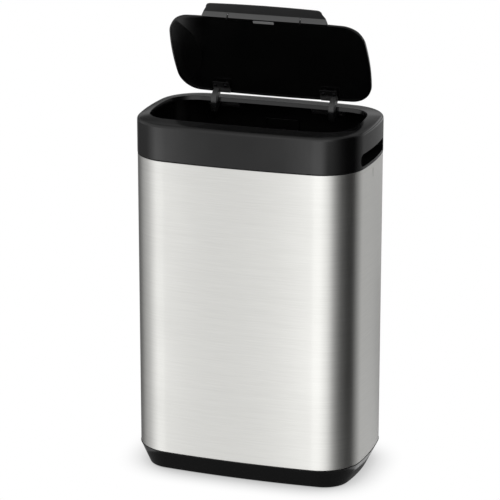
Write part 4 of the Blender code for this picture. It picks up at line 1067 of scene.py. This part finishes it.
lid_front = LID_MIDDLE - LID_HALF_DEPTH
handle_back = lid_front + HANDLE_OVERLAP
middle_y = lid_front + HANDLE_OVERLAP / 2
fold_y = lid_front - HANDLE_FOLD
tip_y = lid_front - HANDLE_REACH
under = ((handle_back, lid_top(handle_back) + PLAY), (middle_y, lid_top(middle_y) + PLAY),
         (lid_front - PLAY, LID_SEAT + LID_RIM_HEIGHT + PLAY), (lid_front - PLAY, LID_SEAT + PLAY),
         (fold_y, LID_SEAT + HANDLE_RISE), (tip_y, LID_SEAT + HANDLE_TIP_RISE))
over = tuple((y, z + HANDLE_WALL) for y, z in reversed(under[:3] + under[4:]))
handle = bar(-HANDLE_HALF_BASE - OVERRUN, HANDLE_HALF_BASE + OVERRUN, under[0], under[1:] + over)
half_fold = HANDLE_HALF_BASE - HANDLE_FOLD_TAPER
half_tip = HANDLE_HALF_BASE - HANDLE_TIP_TAPER
bow_radius = (half_tip ** 2 + HANDLE_BOW ** 2) / (2 * HANDLE_BOW)
corner_x = half_tip - HANDLE_CORNER
corner_y = tip_y + HANDLE_CORNER + HANDLE_BOW
bow_turn = math.asin(corner_x / bow_radius)
bow_low = tip_y + bow_radius * (1 - math.cos(bow_turn))
corner_turn = math.pi / 2 - 2 * bow_turn
plan = bar(LID_SEAT - OVERRUN, LID_SEAT + 2 * OVERRUN, (-HANDLE_HALF_BASE, handle_back + OVERRUN), (
    (-HANDLE_HALF_BASE, lid_front), (-half_fold, fold_y), (-half_tip, corner_y),
    (-corner_x, corner_y, corner_turn, 8), (-corner_x, bow_low), (0.0, tip_y + bow_radius, 2 * bow_turn, 24),
    (corner_x + HANDLE_CORNER * math.sin(2 * bow_turn), corner_y - HANDLE_CORNER * math.cos(2 * bow_turn)),
    (corner_x, corner_y, corner_turn, 8), (half_fold, fold_y), (HANDLE_HALF_BASE, lid_front),
    (HANDLE_HALF_BASE, handle_back + OVERRUN)))
stood_on_end(plan)
carve(handle, plan, "INTERSECT")
ease(handle, edges_over(handle), HANDLE_EDGE)
jaw_back = lid_front + CLIP_JAW
clip_inside = lid_front - 2 * PLAY
clip_outside = clip_inside - CLIP_THICKNESS
clip_reach = lid_front - CLIP_SLOT + PLAY
clip_low = LID_SEAT - PLAY
clip_high = lid_top(jaw_back) + HANDLE_WALL + 2 * PLAY
for sign, side in ((-1, "left"), (1, "right")):
    x = sign * CLIP_PLACE
    carve(handle, block((x - CLIP_HALF_WIDTH - PLAY, lid_front - CLIP_SLOT, LID_SEAT),
                        (x + CLIP_HALF_WIDTH + PLAY, lid_front - PLAY, LID_SEAT + 2 * OVERRUN)))
    clip = bar(x - CLIP_HALF_WIDTH, x + CLIP_HALF_WIDTH, (clip_outside, clip_low - CLIP_THICKNESS), (
        (jaw_back, clip_low - CLIP_THICKNESS), (jaw_back, clip_low), (clip_inside, clip_low),
        (clip_inside, clip_high), (jaw_back, clip_high), (jaw_back, clip_high + CLIP_THICKNESS),
        (clip_reach, clip_high + CLIP_THICKNESS), (clip_reach, clip_high), (clip_outside, clip_high)))
    ease(clip, edges_over(clip), CLIP_EDGE, 2)
    open_with_lid(clip)
    dress(clip, "edge_clip_" + side, "lid", ["handle_clip_" + side], hinge_black)
open_with_lid(handle)
handle_black_painted_light = moulded_black(
    "handle_black_painted_light", (0.0070, 0.0070, 0.0072), (0.0100, 0.0100, 0.0103), 0.30, 0.38, 0.3)
# Painted highlight: the rise from the lid's edge up to the fold is painted lighter than the lip beyond it.
tree = handle_black_painted_light.node_tree
along = tree.nodes.new("ShaderNodeVectorMath")
along.operation = "DOT_PRODUCT"
outward = Vector((0.0, math.cos(OPEN_ANGLE), -math.sin(OPEN_ANGLE)))
along.inputs[1].default_value = outward
link(tree, tree.nodes.new("ShaderNodeTexCoord").outputs["Object"], along.inputs[0])
fold_at = HINGE.dot(outward) + fold_y
riser_light = spread(tree, along.outputs["Value"], fold_at - HANDLE_EDGE, fold_at + HANDLE_EDGE, 0.0, 1.0)
paint_light_into(handle_black_painted_light, riser_light, RISER_PAINTED_LIGHT)
dress(handle, "pull_lip", "lid", ["lid_handle"], handle_black_painted_light)

# Bumper: a strip of soft grey rubber keyed under the lid's front edge. It meets the rest on the
# collar when the lid is shut.
BUMPER_HALF_WIDTH = 0.0175
BUMPER_DEPTH = 0.0045
BUMPER_BACK = 0.0010
BUMPER_DROP = 0.0018
BUMPER_KEY = 0.0012
BUMPER_EDGE = 0.0004
bumper_front = lid_front + BUMPER_BACK
key_front = lid_front + LID_WALL + PLAY
bumper_low = LID_SEAT - BUMPER_DROP
bumper_back = bumper_front + BUMPER_DEPTH
bumper = bar(-BUMPER_HALF_WIDTH, BUMPER_HALF_WIDTH, (bumper_front, bumper_low), (
    (bumper_back, bumper_low), (bumper_back, LID_SEAT + BUMPER_KEY), (key_front, LID_SEAT + BUMPER_KEY),
    (key_front, LID_SEAT - PLAY), (bumper_front, LID_SEAT - PLAY)))
ease(bumper, edges_over(bumper), BUMPER_EDGE, 2)
open_with_lid(bumper)
soft_grey = moulded_black("soft_grey", (0.12, 0.12, 0.12), (0.17, 0.17, 0.17), 0.55, 0.70, 0.4)
dress(bumper, "soft_bumper", "lid", ["lid_bumper"], soft_grey)
